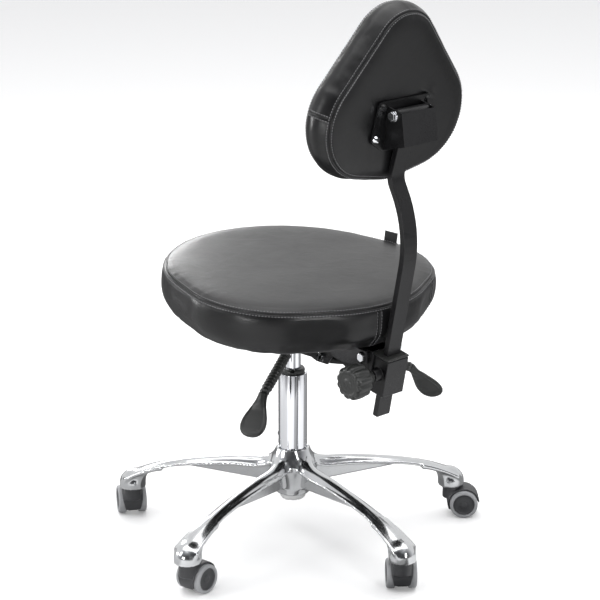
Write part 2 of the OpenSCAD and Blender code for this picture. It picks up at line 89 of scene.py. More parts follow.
def soft_max(one, other, blend):
    """Intersection of two fields, rounded likewise."""
    return -soft_min(-one, -other, blend)


def lattice(i, j, k, seed):
    """A fixed value in -1..1 for each whole-number place."""
    mixed = (i * 73856093) ^ (j * 19349663) ^ (k * 83492791) ^ (seed * 2654435761)
    mixed = (mixed ^ (mixed >> 13)) * 1274126177
    mixed = mixed ^ (mixed >> 16)
    return (mixed & 0xFFFFF) / float(0xFFFFF) * 2 - 1


def noise(points, scale, seed):
    """Smooth value noise in -1..1 at points (n, 3), in the same unit as scale."""
    scaled = np.asarray(points, float) / scale + 1000.0
    cell = np.floor(scaled).astype(np.int64)
    part = scaled - cell
    part = part * part * part * (part * (part * 6 - 15) + 10)
    total = 0
    for corner in np.ndindex(2, 2, 2):
        weight = [part[:, k] if corner[k] else 1 - part[:, k] for k in range(3)]
        value = lattice(*(cell[:, k] + corner[k] for k in range(3)), seed)
        total = total + weight[0] * weight[1] * weight[2] * value
    return total


def rot_x(degrees):
    cos, sin = math.cos(rad(degrees)), math.sin(rad(degrees))
    return np.array([[1, 0, 0], [0, cos, -sin], [0, sin, cos]])


def rot_z(degrees):
    cos, sin = math.cos(rad(degrees)), math.sin(rad(degrees))
    return np.array([[cos, -sin, 0], [sin, cos, 0], [0, 0, 1]])


def full_turn(count):
    """Angles of count points round a circle, in radians."""
    return np.linspace(0, 2 * math.pi, count, endpoint=False)


# ------------------------------------------------------------------ mesh tools
def make(name, verts, faces, material, body, replaces=()):
    """A smooth-shaded piece from vertices in millimetres and faces."""
    mesh = bpy.data.meshes.new(name)
    mesh.from_pydata([tuple(v) for v in (np.asarray(verts, float) * MM)], [],
                     [tuple(int(i) for i in face) for face in faces])
    mesh.validate()
    mesh.update()
    piece = bpy.data.objects.new(name, mesh)
    scene.collection.objects.link(piece)
    mesh.materials.append(material)
    mesh.polygons.foreach_set("use_smooth", [True] * len(mesh.polygons))
    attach(piece, body)
    if replaces:
        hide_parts(*replaces)
    return piece


def fix_normals(piece):
    work = bmesh.new()
    work.from_mesh(piece.data)
    bmesh.ops.recalc_face_normals(work, faces=work.faces)
    work.to_mesh(piece.data)
    work.free()
    piece.data.update()


def loft(rings, caps=False, wrap=False):
    """Vertices and quads of a stack of closed rings; wrap joins the last ring to the first."""
    grid = np.asarray(rings, float)
    rows, count = grid.shape[:2]
    verts = grid.reshape(-1, 3).tolist()
    faces = []
    for i in range(rows if wrap else rows - 1):
        here, there = i * count, (i + 1) % rows * count
        for j in range(count):
            after = (j + 1) % count
            faces.append((here + j, here + after, there + after, there + j))
    if caps:
        last = (rows - 1) * count
        centre = len(verts)
        verts += [grid[0].mean(0).tolist(), grid[-1].mean(0).tolist()]
        faces += [(centre, (j + 1) % count, j) for j in range(count)]
        faces += [(centre + 1, last + j, last + (j + 1) % count) for j in range(count)]
    return verts, faces


def join_parts(parts):
    verts, faces = [], []
    for part_verts, part_faces in parts:
        first = len(verts)
        verts += [list(map(float, v)) for v in part_verts]
        faces += [tuple(i + first for i in face) for face in part_faces]
    return verts, faces


def placed(rings, turn, origin):
    """A grid of points turned by a matrix, then moved to origin."""
    flat = rings.reshape(-1, 3) @ turn.T + np.array(origin, float)
    return flat.reshape(rings.shape)


def stations(ends, counts):
    """Even steps between successive ends; each span has its count of points, ends included."""
    spans = zip(ends[:-1], ends[1:], counts)
    return np.append(np.concatenate([np.linspace(*span)[:-1] for span in spans]), ends[-1])


# ------------------------------------------------------------------ surfaces of fields
# A field takes points (n, 3) and is negative inside the solid.
NET_RELAX = 4


def sample_field(field, low, counts, cell):
    xs, ys, zs = [low[i] + cell * np.arange(counts[i]) for i in range(3)]
    values = np.empty(counts, np.float32)
    grid_x, grid_y = np.meshgrid(xs, ys, indexing="ij")
    for k in range(counts[2]):
        points = np.stack([grid_x.ravel(), grid_y.ravel(), np.full(grid_x.size, zs[k])], 1)
        values[:, :, k] = field(points).reshape(counts[0], counts[1])
    return values


def crossing_means(values, cells):
    """Mean place of the surface crossings on the edges of each cell, in cell units."""
    total = np.zeros((len(cells), 3))
    found = np.zeros(len(cells))
    for corner in [np.array(c) for c in np.ndindex(2, 2, 2)]:
        for axis in range(3):
            if corner[axis]:
                continue
            end = corner.copy()
            end[axis] = 1
            first, second = [values[cells[:, 0] + c[0], cells[:, 1] + c[1], cells[:, 2] + c[2]]
                             for c in (corner, end)]
            crossed = (first < 0) != (second < 0)
            share = np.where(crossed, first / np.where(crossed, first - second, 1), 0)
            place = np.repeat(corner[None, :].astype(float), len(cells), 0)
            place[:, axis] += share
            total += place * crossed[:, None]
            found += crossed
    return total / found[:, None]


def crossing_quads(inside, index, counts):
    """One quad round each grid edge that crosses the surface."""
    limit = counts - 1
    faces = []
    for axis in range(3):
        side, other = [(1, 2), (2, 0), (0, 1)][axis]
        low_part, high_part = [slice(None)] * 3, [slice(None)] * 3
        low_part[axis] = slice(0, counts[axis] - 1)
        high_part[axis] = slice(1, counts[axis])
        starts = inside[tuple(low_part)]
        edges = np.argwhere(starts != inside[tuple(high_part)])
        edges = edges[(edges[:, side] > 0) & (edges[:, other] > 0)
                      & (edges[:, side] < limit[side]) & (edges[:, other] < limit[other])]
        start_inside = starts[edges[:, 0], edges[:, 1], edges[:, 2]]
        corners = []
        for side_step, other_step in ((0, 0), (-1, 0), (-1, -1), (0, -1)):
            near = edges.copy()
            near[:, side] += side_step
            near[:, other] += other_step
            corners.append(index[near[:, 0], near[:, 1], near[:, 2]])
        quads = np.stack(corners, 1)
        quads[~start_inside] = quads[~start_inside][:, ::-1]
        faces.append(quads)
    return np.concatenate(faces)


def project(field, verts, cell):
    """One step of the vertices towards the zero surface."""
    probe = cell * 0.05
    value = field(verts)
    slope = np.stack([(field(verts + step) - field(verts - step)) / (2 * probe)
                      for step in np.eye(3) * probe], 1)
    steep = np.maximum((slope * slope).sum(1), 0.04)
    move = -(value / steep)[:, None] * slope
    length = np.linalg.norm(move, axis=1)
    move *= np.minimum(1, cell * 0.6 / np.maximum(length, 1e-9))[:, None]
    return verts + move


def surface_net(field, low, high, cell):
    """Even quads on the zero surface of a field."""
    low, high = np.array(low, float), np.array(high, float)
    counts = np.ceil((high - low) / cell).astype(int) + 1
    values = sample_field(field, low, counts, cell)
    inside = values < 0
    limit = counts - 1
    filled = np.zeros(limit, np.int8)
    for i, j, k in np.ndindex(2, 2, 2):
        filled += inside[i:limit[0] + i, j:limit[1] + j, k:limit[2] + k]
    active = (filled > 0) & (filled < 8)
    cells = np.argwhere(active)
    index = -np.ones(limit, np.int64)
    index[active] = np.arange(len(cells))
    verts = low + (cells + crossing_means(values, cells)) * cell
    faces = crossing_quads(inside, index, counts)
    for _ in range(2):
        verts = project(field, verts, cell)
    for _ in range(NET_RELAX):
        total = np.zeros_like(verts)
        found = np.zeros(len(verts))
        for k in range(4):
            np.add.at(total, faces[:, k], verts[faces[:, (k + 1) % 4]])
            np.add.at(total, faces[:, k], verts[faces[:, (k + 3) % 4]])
            np.add.at(found, faces[:, k], 2)
        verts = verts * 0.4 + 0.6 * total / np.maximum(found, 1)[:, None]
        verts = project(field, verts, cell)
    return verts, faces


# ------------------------------------------------------------------ material tools
class Nodes:
    """Short ways to add nodes to a tree. Sources are output sockets."""

    def __init__(self, tree):
        self.tree = tree
        self.coords = self.node("ShaderNodeTexCoord")

    def node(self, kind, **settings):
        node = self.tree.nodes.new(kind)
        for key, value in settings.items():
            setattr(node, key, value)
        return node

    def link(self, source, socket):
        self.tree.links.new(source, socket)

    def feed(self, socket, value):
        """Set a socket to a number or an RGB colour, or link a source to it."""
        if isinstance(value, (int, float)):
            socket.default_value = value
        elif isinstance(value, (tuple, list)):
            socket.default_value = tuple(value) + (1,)
        else:
            self.link(value, socket)

    def ramp(self, source, stops):
        """Stops are (position, grey) or (position, RGB colour)."""
        node = self.node("ShaderNodeValToRGB")
        elements = node.color_ramp.elements
        while len(elements) < len(stops):
            elements.new(0.5)
        for i, (position, colour) in enumerate(stops):
            if not isinstance(colour, tuple):
                colour = (colour,) * 3
            elements[i].position = position
            elements[i].color = colour + (1,)
        self.link(source, node.inputs["Fac"])
        return node.outputs["Color"]

    def maths(self, operation, first, second):
        node = self.node("ShaderNodeMath", operation=operation)
        self.feed(node.inputs[0], first)
        self.feed(node.inputs[1], second)
        return node.outputs[0]

    def add(self, first, second):
        return self.maths("ADD", first, second)

    def times(self, first, second):
        return self.maths("MULTIPLY", first, second)

    def mix(self, factor, first, second, blend="MIX"):
        node = self.node("ShaderNodeMix", data_type="RGBA", blend_type=blend)
        self.feed(node.inputs["Factor"], factor)
        self.feed(node.inputs[6], first)
        self.feed(node.inputs[7], second)
        return node.outputs[2]


class Shader(Nodes):
    """Nodes of one new material, textured in object space."""

    def __init__(self, name):
        self.material = bpy.data.materials.new(name)
        self.material.use_nodes = True
        super().__init__(self.material.node_tree)
        self.surface = self.tree.nodes["Principled BSDF"]

    def set(self, **values):
        """Fixed surface inputs, with _ for each space of the input's name."""
        for key, value in values.items():
            self.surface.inputs[key.replace("_", " ")].default_value = value

    def out(self, name, source):
        self.link(source, self.surface.inputs[name])

    def noise(self, scale, detail, roughness=0.55, stretch=None, distortion=0.0):
        node = self.node("ShaderNodeTexNoise")
        node.inputs["Scale"].default_value = scale
        node.inputs["Detail"].default_value = detail
        node.inputs["Roughness"].default_value = roughness
        node.inputs["Distortion"].default_value = distortion
        source = self.coords.outputs["Object"]
        if stretch:
            mapping = self.node("ShaderNodeMapping")
            mapping.inputs["Scale"].default_value = stretch
            self.link(source, mapping.inputs["Vector"])
            source = mapping.outputs["Vector"]
        self.link(source, node.inputs["Vector"])
        return node.outputs["Fac"]

    def voronoi(self, scale, feature):
        node = self.node("ShaderNodeTexVoronoi", feature=feature)
        node.inputs["Scale"].default_value = scale
        node.inputs["Randomness"].default_value = 1.0
        self.link(self.coords.outputs["Object"], node.inputs["Vector"])
        return node.outputs["Distance"]

    def bump(self, height, strength, distance, after=None):
        node = self.node("ShaderNodeBump")
        node.inputs["Strength"].default_value = strength
        node.inputs["Distance"].default_value = distance
        self.link(height, node.inputs["Height"])
        if after is not None:
            self.link(after, node.inputs["Normal"])
        return node.outputs["Normal"]

    def edges(self, start, full):
        """A mask of outer edges, from two levels of pointiness."""
        geometry = self.node("ShaderNodeNewGeometry")
        return self.ramp(geometry.outputs["Pointiness"], [(start, 0.0), (full, 1.0)])


def shade(colour, factor):
    return tuple(c * factor for c in colour)


def metal(name, colour, rough, drift, scale, scratch, edge=None, pits=0.0):
    """Drift darkens patches of the given noise scale; scratch is the spread of roughness."""
    shader = Shader(name)
    shader.set(Metallic=1.0, Roughness=rough)
    patches = shader.noise(scale=scale, detail=5)
    fine = shader.noise(scale=240, detail=3, stretch=(1, 1, 0.12))
    patch_mask = shader.ramp(patches, [(0.3, 0.0), (0.7, 1.0)])
    base = shader.mix(patch_mask, shade(colour, 1 - drift * 2.2), colour)
    if edge:
        base = shader.mix(shader.edges(start=0.51, full=0.58), base, edge)
    shader.out("Base Color", base)
    blend = shader.add(shader.times(patches, 0.7), shader.times(fine, 0.3))
    shader.out("Roughness", shader.ramp(blend, [(0.3, rough - scratch * 0.5),
                                                (0.7, rough + scratch * 0.5)]))
    height = fine
    if pits:
        height = shader.add(fine, shader.times(shader.noise(scale=900, detail=2), pits))
    shader.out("Normal", shader.bump(height, strength=0.05, distance=0.0004))
    return shader.material


def plastic(name, colour, rough, grain, bump, drift=0.12, specular=0.45, edge=None):
    """Grain is the noise scale of the surface texture, bump its strength."""
    shader = Shader(name)
    shader.set(Roughness=rough, Specular_IOR_Level=specular)
    patches = shader.noise(scale=14, detail=4)
    patch_mask = shader.ramp(patches, [(0.3, 0.0), (0.75, 1.0)])
    base = shader.mix(patch_mask, shade(colour, 1 - drift), shade(colour, 1 + drift))
    if edge:
        base = shader.mix(shader.edges(start=0.515, full=0.6), base, edge)
    shader.out("Base Color", base)
    fine = shader.noise(scale=grain, detail=3, roughness=0.65)
    blend = shader.add(shader.times(patches, 0.5), shader.times(fine, 0.5))
    shader.out("Roughness", shader.ramp(blend, [(0.35, rough - 0.08), (0.65, rough + 0.1)]))
    shader.out("Normal", shader.bump(fine, strength=bump, distance=0.0006))
    return shader.material


def leather(name, colour, rough, worn):
    """Coated cloth: fine pebble grain, slow colour drift, soft sheen and paler worn edges."""
    shader = Shader(name)
    shader.set(Roughness=rough, Specular_IOR_Level=0.30)
    borders = shader.voronoi(scale=620, feature="DISTANCE_TO_EDGE")
    pebbles = shader.voronoi(scale=330, feature="F1")
    grain = shader.ramp(borders, [(0.0, 0.0), (0.16, 0.85), (0.5, 1.0)])
    pores = shader.noise(scale=1500, detail=2)
    folds = shader.noise(scale=34, detail=5, roughness=0.6, distortion=0.6)
    drift = shader.noise(scale=7, detail=3)
    height = shader.add(shader.times(grain, 0.75),
                        shader.add(shader.times(pebbles, 0.25), shader.times(pores, 0.15)))
    fold_bump = shader.bump(shader.ramp(folds, [(0.35, 0.0), (0.65, 1.0)]),
                            strength=0.10, distance=0.0016)
    shader.out("Normal", shader.bump(height, strength=0.16, distance=0.00022, after=fold_bump))
    base = shader.mix(shader.ramp(drift, [(0.3, 0.0), (0.7, 1.0)]),
                      shade(colour, 0.8), shade(colour, 1.15))
    grooves = shader.times(shader.ramp(borders, [(0.0, 1.0), (0.1, 0.0)]), 0.35)
    base = shader.mix(grooves, base, shade(colour, 0.45))
    base = shader.mix(shader.times(shader.edges(start=0.505, full=0.56), 0.5), base, worn)
    shader.out("Base Color", base)
    spread = shader.add(shader.times(drift, 0.14), shader.times(folds, 0.10))
    shader.out("Roughness", shader.add(spread, rough - 0.12))
    shader.set(Coat_Weight=0.10, Coat_Roughness=0.22, Sheen_Weight=0.02, Sheen_Roughness=0.4)
    return shader.material


# ------------------------------------------------------------------ materials
ALUMINIUM = metal("polished_aluminium", (0.63, 0.64, 0.65), rough=0.17, drift=0.06, scale=14,
                  scratch=0.10, edge=(0.78, 0.79, 0.8), pits=0.6)
CHROME = metal("chrome", (0.83, 0.84, 0.87), rough=0.06, drift=0.02, scale=20, scratch=0.04)
STEEL = metal("steel", (0.56, 0.56, 0.57), rough=0.28, drift=0.08, scale=26, scratch=0.15)
BRASS = metal("brass", (0.72, 0.55, 0.26), rough=0.3, drift=0.08, scale=26, scratch=0.15)
BLACK_STEEL = plastic("black_steel", (0.005, 0.005, 0.0055), rough=0.30, grain=900, bump=0.10,
                      drift=0.2, specular=0.3, edge=(0.035, 0.035, 0.037))
BLACK_PLASTIC = plastic("black_plastic", (0.017, 0.018, 0.017), rough=0.33, grain=1100,
                        bump=0.14, drift=0.2, specular=0.5, edge=(0.04, 0.041, 0.04))
GREY_PLASTIC = plastic("caster_plastic", (0.040, 0.041, 0.044), rough=0.40, grain=800,
                       bump=0.12, drift=0.14, edge=(0.08, 0.08, 0.085))
TREAD = plastic("tread", (0.34, 0.345, 0.355), rough=0.52, grain=700, bump=0.14, drift=0.1,
                specular=0.35, edge=(0.32, 0.325, 0.335))
WHITE_PLASTIC = plastic("white_plastic", (0.66, 0.66, 0.66), rough=0.35, grain=600, bump=0.08,
                        drift=0.05, specular=0.5)
SEAL = plastic("seal_rubber", (0.015, 0.015, 0.015), rough=0.6, grain=700, bump=0.1)
SEAT_LEATHER = leather("seat_leather", (0.0075, 0.0075, 0.008), rough=0.36,
                       worn=(0.026, 0.026, 0.028))
BACK_LEATHER = leather("back_leather", (0.006, 0.006, 0.0065), rough=0.33,
                       worn=(0.022, 0.022, 0.024))
# grey thread; its paleness is partly painted highlight, standing in for the light that the
# stitching catches
THREAD = plastic("thread", (0.16, 0.16, 0.165), rough=0.42, grain=3000, bump=0.3, drift=0.1,
                 specular=0.5)
PLYWOOD = plastic("plywood", (0.42, 0.29, 0.17), rough=0.6, grain=200, bump=0.2, drift=0.2)
FABRIC = plastic("label_fabric", (0.03, 0.03, 0.03), rough=0.8, grain=2500, bump=0.5, drift=0.15)
LINING = plastic("board_lining", (0.014, 0.014, 0.015), rough=0.85, grain=1600, bump=0.5,
                 drift=0.2, specular=0.2)

# Material and the frame nodes that wear it.
NODE_MATERIALS = [
    (ALUMINIUM, "base_casting"),
    (CHROME, "column_tube pressure_cylinder seat_bolts tilt_pivot_shaft height_lever_rod "
             "tilt_lever_rod tilt_stop_bolt backrest_pivot_bolt backrest_fixings"),
    (STEEL, "caster_stems piston_rod thrust_bearing retaining_clip valve_button seat_tee_nuts "
            "return_spring lever_pins tilt_clamp_pad"),
    (BRASS, "piston clamp_pad"),
    (BLACK_STEEL, "mechanism_housing column_socket carrier_arm clamp_housing back_bar "
                  "backrest_bracket"),
    (BLACK_PLASTIC, "guide_bush column_collar height_lever_grip tilt_lever_grip housing_liner "
                    "clamp_knob"),
    (WHITE_PLASTIC, "column_end_ring"),
    (SEAL, "rod_seal"),
    (PLYWOOD, "seat_board backrest_board"),
    (SEAT_LEATHER, "seat_pad"),
    (BACK_LEATHER, "backrest_pad"),
    (FABRIC, "label_tab"),
]
for number in range(1, 6):
    NODE_MATERIALS += [(GREY_PLASTIC, f"caster_{number}_hood caster_{number}_wheels"),
                       (STEEL, f"caster_{number}_axle"), (TREAD, f"caster_{number}_treads")]
# Bevel width and the frame nodes that take it.
BEVELS = [
    (0.3, "height_lever_rod tilt_lever_rod"),
    (0.4, "column_end_ring valve_button"),
    (0.5, "column_tube column_collar column_socket seat_bolts tilt_clamp_pad pressure_cylinder"),
    (0.6, "tilt_stop_bolt backrest_fixings"),
    (0.7, "carrier_arm backrest_pivot_bolt"),
    (0.8, "mechanism_housing seat_board tilt_pivot_shaft backrest_bracket backrest_board"),
    (1.0, "housing_liner"), (1.4, "clamp_housing"), (1.6, "back_bar"),
]


def by_name(groups):
    return {name: value for value, names in groups for name in names.split()}


def dress_frame():
    """Materials and softened edges for the pieces of the frame."""
    materials, bevels = by_name(NODE_MATERIALS), by_name(BEVELS)
    for name, node in frame_nodes.items():
        node.data.materials.clear()
        node.data.materials.append(materials[name])
        for face in node.data.polygons:
            face.material_index = 0
        if name in bevels:
            weld = node.modifiers.new("weld", "WELD")
            weld.merge_threshold = 0.00002  # metres
            bevel = node.modifiers.new("bevel", "BEVEL")
            bevel.width = bevels[name] * MM
            bevel.segments = 3
            bevel.limit_method = "ANGLE"
            bevel.angle_limit = rad(32)
            bevel.harden_normals = True
            bevel.use_clamp_overlap = True


FIXING_SPLIT = 0.790  # metres; height between the lower and the upper backrest fixings


def blacken_upper_fixings():
    """The two upper fixings have black heads, the two lower ones bright heads."""
    mesh = frame_nodes["backrest_fixings"].data
    mesh.materials.append(BLACK_STEEL)
    for face in mesh.polygons:
        if sum(mesh.vertices[i].co.z for i in face.vertices) / len(face.vertices) > FIXING_SPLIT:
            face.material_index = 1


# ------------------------------------------------------------------ base casting
ARM_PITCH = 360 / 5
FIRST_ARM = 11.7      # heading of the first arm
CASTER_CIRCLE = 300   # radius on which the caster stems stand
ARM_END = CASTER_CIRCLE + 6
WEB_END = 222         # the web under an arm fades out here
WEB_HALF = 6.4
BORE = 25.25          # radius of the column hole
HUB_FOOT, HUB_TOP = 84.2, 168.4
BELL_FOOT = 57        # lower face of the bells over the stems
BELL_SPRING = 64      # the bell is straight below this height and domed above
BELL_RADIUS, BELL_RISE = 22.8, 25.0
SOCKET_RADIUS, SOCKET_TOP = 6.2, 60
SWEEP_X, SWEEP_Z, SWEEP_RADIUS = 243.5, 61, 36.5  # hollow curve from the arm into the bell
SWEEP_HALF, SWEEP_START = 15.5, 240
BASE_REACH, BASE_CELL = 326, 2.6
# (distance from the column, half width of the arm)
ARM_WIDTH = np.array([(0, 19), (20, 18), (60, 15.5), (140, 13.2), (215, 12.5), (250, 14.5),
                      (275, 19), (300, 21.5), (330, 22.0)]).T
# (height, radius) of the hub
HUB = np.array([(80, 28.2), (84.2, 28.6), (86, 29), (106, 30), (118, 33), (128, 37),
                (138, 37.5), (147, 34), (157, 30.3), (168, 27.6), (175, 26.6)]).T


def arm_top(out):
    """Height of an arm's ridge: falls outwards, and rises where it meets the hub."""
    fall = 148 - 0.135 * out - 25 * (np.maximum(out, 0) / CASTER_CIRCLE) ** 4.6
    return fall + 18 * np.exp(-(out - 25) / 14) + 4.5 * smooth_step(40, 110, out)


def arm_field(x, y, z):
    """One arm along +x."""
    out = np.maximum(x, 22)
    top = arm_top(out)
    low = top - 15.5 + 6.5 * np.clip((out - 60) / 160, 0, 1)
    half = np.interp(out, *ARM_WIDTH)
    rise = np.maximum(top - low, 3)
    across = np.abs(y) / half
    above = np.maximum(z - low, 0) / rise
    arch = (across ** 2.15 + above ** 1.75 + 1e-9) ** (1 / 1.95) - 1
    field = soft_max(arch * np.minimum(half, rise) * 0.93, low - z, 2.0)
    # rolled lip along both lower edges
    lip = np.hypot(np.abs(y) - half + 0.4, z - low - 2.4) - 2.3
    field = soft_min(field, lip, 2.4)
    # thin web below, tapering out to the underside
    web_low = 99 + 13.4 * (out - 24) / 191
    web_half = WEB_HALF + 1.8 * np.clip((z - web_low) / 30, 0, 1)
    web = soft_max(np.abs(y) - web_half, web_low - z, 3.0)
    web = soft_max(web, z - low - 4, 2.0)
    web = soft_max(web, x - WEB_END, 14)
    field = np.maximum(soft_min(field, web, 3.2), -x)
    return soft_max(field, x - ARM_END, 3)


def bell_field(from_stem, y, z):
    """Bell over a caster stem, from_stem being the distance outwards from the stem's line."""
    dome = np.sqrt((np.hypot(from_stem, y) / BELL_RADIUS) ** 2
                   + (np.maximum(z - BELL_SPRING, 0) / BELL_RISE) ** 2) - 1
    bell = soft_max(dome * 22, BELL_FOOT - z, 1.4)
    # the underside of the arm sweeps down into the bell
    x = from_stem + CASTER_CIRCLE
    sweep = np.hypot((x - SWEEP_X) / SWEEP_RADIUS, (z - SWEEP_Z) / SWEEP_RADIUS)
    sweep = soft_max(sweep * -SWEEP_RADIUS + SWEEP_RADIUS, np.abs(y) - SWEEP_HALF, 5)
    sweep = soft_max(sweep, z - arm_top(x) + 6, 3)
    sweep = np.maximum(np.maximum(sweep, SWEEP_START - x), x - CASTER_CIRCLE)
    return soft_min(bell, soft_max(sweep, BELL_FOOT - z, 1.4), 4)


def base_field(points):
    x, y, z = points[:, 0], points[:, 1], points[:, 2]
    out = np.hypot(x, y)
    heading = np.degrees(np.arctan2(y, x)) - FIRST_ARM
    nearest = np.mod(heading + ARM_PITCH / 2, ARM_PITCH) - ARM_PITCH / 2
    second = nearest - ARM_PITCH * np.where(nearest >= 0, 1, -1)
    arms = [arm_field(out * np.cos(np.radians(turn)), out * np.sin(np.radians(turn)), z)
            for turn in (nearest, second)]
    hub = (out - np.interp(z, *HUB)) * 0.9
    hub = soft_max(hub, z - HUB_TOP, 1.6)
    hub = soft_max(hub, HUB_FOOT - z, 1.6)
    field = soft_min(soft_min(*arms, 9), hub, 11)
    from_stem = out * np.cos(np.radians(nearest)) - CASTER_CIRCLE
    across = out * np.sin(np.radians(nearest))
    field = soft_min(field, bell_field(from_stem, across, z), 8)
    field = np.maximum(field, BELL_FOOT - z)
    field = soft_max(field, BORE - out, 0.8)
    # socket mouth round each stem
    socket = np.maximum(np.hypot(from_stem, across) - SOCKET_RADIUS, z - SOCKET_TOP)
    return soft_max(field, -socket, 0.6)


def build_base():
    verts, faces = surface_net(base_field, (-BASE_REACH, -BASE_REACH, 55),
                               (BASE_REACH, BASE_REACH, 171), BASE_CELL)
    make("base_star", verts, faces, ALUMINIUM, "base", ("base_casting",))


# ------------------------------------------------------------------ cushion shapes
SIM_FRAMES = 20
STIFFNESS = 12.0
PRESSURE = 4.0
MOVE_LIMIT = 4.0    # the cloth moves no further than this
COVER_COLUMNS = 640  # points round a finished cover


def hull_outline(circles, count):
    """Even points round the convex hull of circles (x, y, radius), with outward normals.

    They run counter-clockwise from the +y side. The third result is the outline's length.
    """
    angles = np.linspace(0, 2 * math.pi, 7201)[:-1] + rad(90)
    away = np.stack([np.cos(angles), np.sin(angles)], 1)
    reach = np.stack([np.array([x, y]) @ away.T + radius for x, y, radius in circles])
    outer = reach.argmax(0)
    centres = np.array([[x, y] for x, y, _ in circles])
    radii = np.array([radius for _, _, radius in circles])
    hull = centres[outer] + radii[outer][:, None] * away
    ring = np.vstack([hull, hull[:1]])
    steps = np.linalg.norm(np.diff(ring, axis=0), axis=1)
    lengths = np.concatenate([[0], np.cumsum(steps)])
    even = np.linspace(0, lengths[-1], count + 1)[:-1]
    outline = np.stack([np.interp(even, lengths, ring[:, k]) for k in (0, 1)], 1)
    for _ in range(max(2, count // 60)):
        outline = outline * 0.5 + 0.25 * (np.roll(outline, 1, 0) + np.roll(outline, -1, 0))
    along = np.roll(outline, -1, 0) - np.roll(outline, 1, 0)
    along /= np.linalg.norm(along, axis=1)[:, None]
    return outline, np.stack([along[:, 1], -along[:, 0]], 1), lengths[-1]


def smooth_path(path):
    """Dense curve through a path; returns points, arc lengths and the length at each control."""
    ctrl = np.array(path, float)
    ctrl = np.vstack([2 * ctrl[0] - ctrl[1], ctrl, 2 * ctrl[-1] - ctrl[-2]])
    points, marks = [], []
    for i in range(1, len(ctrl) - 2):
        before, start, end, after = ctrl[i - 1:i + 3]
        span = np.linalg.norm(end - start)
        leave = (end - before) * min(0.5, span / max(np.linalg.norm(end - before), 1e-6))
        arrive = (after - start) * min(0.5, span / max(np.linalg.norm(after - start), 1e-6))
        marks.append(len(points))
        for t in np.linspace(0, 1, 17)[:-1]:
            points.append((2 * t ** 3 - 3 * t * t + 1) * start + (t ** 3 - 2 * t * t + t) * leave
                          + (-2 * t ** 3 + 3 * t * t) * end + (t ** 3 - t * t) * arrive)
    marks.append(len(points))
    points.append(ctrl[-2])
    points = np.array(points)
    steps = np.linalg.norm(np.diff(points, axis=0), axis=1)
    lengths = np.concatenate([[0], np.cumsum(steps)])
    return points, lengths, lengths[marks]


def sim_object(rest, rows, pins):
    """The coarse cover as a mesh with a pin weight for each row."""
    verts, faces = loft(rest)
    mesh = bpy.data.meshes.new("sim")
    mesh.from_pydata([tuple(v) for v in np.array(verts) * MM], [], faces)
    mesh.update()
    sheet = bpy.data.objects.new("sim", mesh)
    scene.collection.objects.link(sheet)
    group = sheet.vertex_groups.new(name="pin")
    count = rest.shape[1]
    for i, length in enumerate(rows):
        group.add(list(range(i * count, (i + 1) * count)), pins(length), "REPLACE")
    return sheet


class Cushion:
    """A cover swept round an outline.

    The path holds (outward offset from the outline, height). Inside the rim width the rows
    follow the outline; further in they shrink towards the centre, which they meet at reach.
    """

    def __init__(self, circles, centre, path, rim, reach, place):
        self.circles, self.centre = circles, np.array(centre, float)
        self.rim, self.reach, self.place = rim, reach, place
        self.curve, self.lengths, self.marks = smooth_path(path)

    def grid(self, rows, count):
        """Points for each row, a length along the path, and each column round the outline."""
        outline, away, _ = hull_outline(self.circles, count)
        offsets = np.interp(rows, self.lengths, self.curve[:, 0])
        heights = np.interp(rows, self.lengths, self.curve[:, 1])
        inner = outline - away * self.rim
        grid = np.zeros((len(rows), count, 3))
        for i, offset in enumerate(offsets):
            if offset >= -self.rim:
                flat = outline + away * offset
            else:
                size = max(0.004, 1 - (-offset - self.rim) / (self.reach - self.rim))
                flat = self.centre + (inner - self.centre) * size
            grid[i] = self.place(flat, heights[i])
        return grid

    def simulate(self, rows, count, pins, shrink, both_ends=False):
        """How far a pressurised cloth moves from the coarse cover."""
        rest = self.grid(rows, count)
        sheet = sim_object(rest, rows, pins)
        modifier = sheet.modifiers.new("cloth", "CLOTH")
        cloth = modifier.settings
        cloth.quality = 5
        cloth.mass = 0.25
        cloth.tension_stiffness = STIFFNESS
        cloth.compression_stiffness = STIFFNESS
        cloth.shear_stiffness = STIFFNESS * 0.5
        cloth.bending_stiffness = 0.6
        cloth.use_pressure = True
        cloth.uniform_pressure_force = PRESSURE
        cloth.effector_weights.gravity = 0
        cloth.vertex_group_mass = "pin"
        cloth.pin_stiffness = 1.0
        cloth.shrink_min = shrink
        modifier.collision_settings.use_collision = False
        scene.frame_start, scene.frame_end = 1, SIM_FRAMES
        for frame in range(1, SIM_FRAMES + 1):
            scene.frame_set(frame)
        settled = sheet.evaluated_get(bpy.context.evaluated_depsgraph_get())
        places = np.zeros(len(sheet.data.vertices) * 3)
        settled.data.vertices.foreach_get("co", places)
        moves = (places.reshape(-1, 3) / MM).reshape(rest.shape) - rest
        # a run that has blown up leaves the cover at rest
        if not np.isfinite(moves).all():
            moves = np.zeros_like(moves)
        size = np.linalg.norm(moves, axis=2)
        moves *= (MOVE_LIMIT * np.tanh(size / MOVE_LIMIT) / np.maximum(size, 1e-9))[..., None]
        for _ in range(3):
            moves = moves * 0.5 + 0.25 * (np.roll(moves, 1, 1) + np.roll(moves, -1, 1))
            softer = moves.copy()
            softer[1:-1] = moves[1:-1] * 0.6 + 0.2 * (moves[2:] + moves[:-2])
            moves = softer
        # the middle of a panel moves as one
        for i, length in enumerate(rows):
            share = 1 - float(smooth_step(20, 80, length))
            moves[i] = moves[i] * (1 - share) + moves[:max(2, i + 1)].mean((0, 1)) * share
            if both_ends:
                share = 1 - float(smooth_step(20, 80, rows[-1] - length))
                rest_mean = moves[min(i, len(rows) - 2):].mean((0, 1))
                moves[i] = moves[i] * (1 - share) + rest_mean * share
        scene.frame_set(1)
        bpy.data.objects.remove(sheet)
        return moves


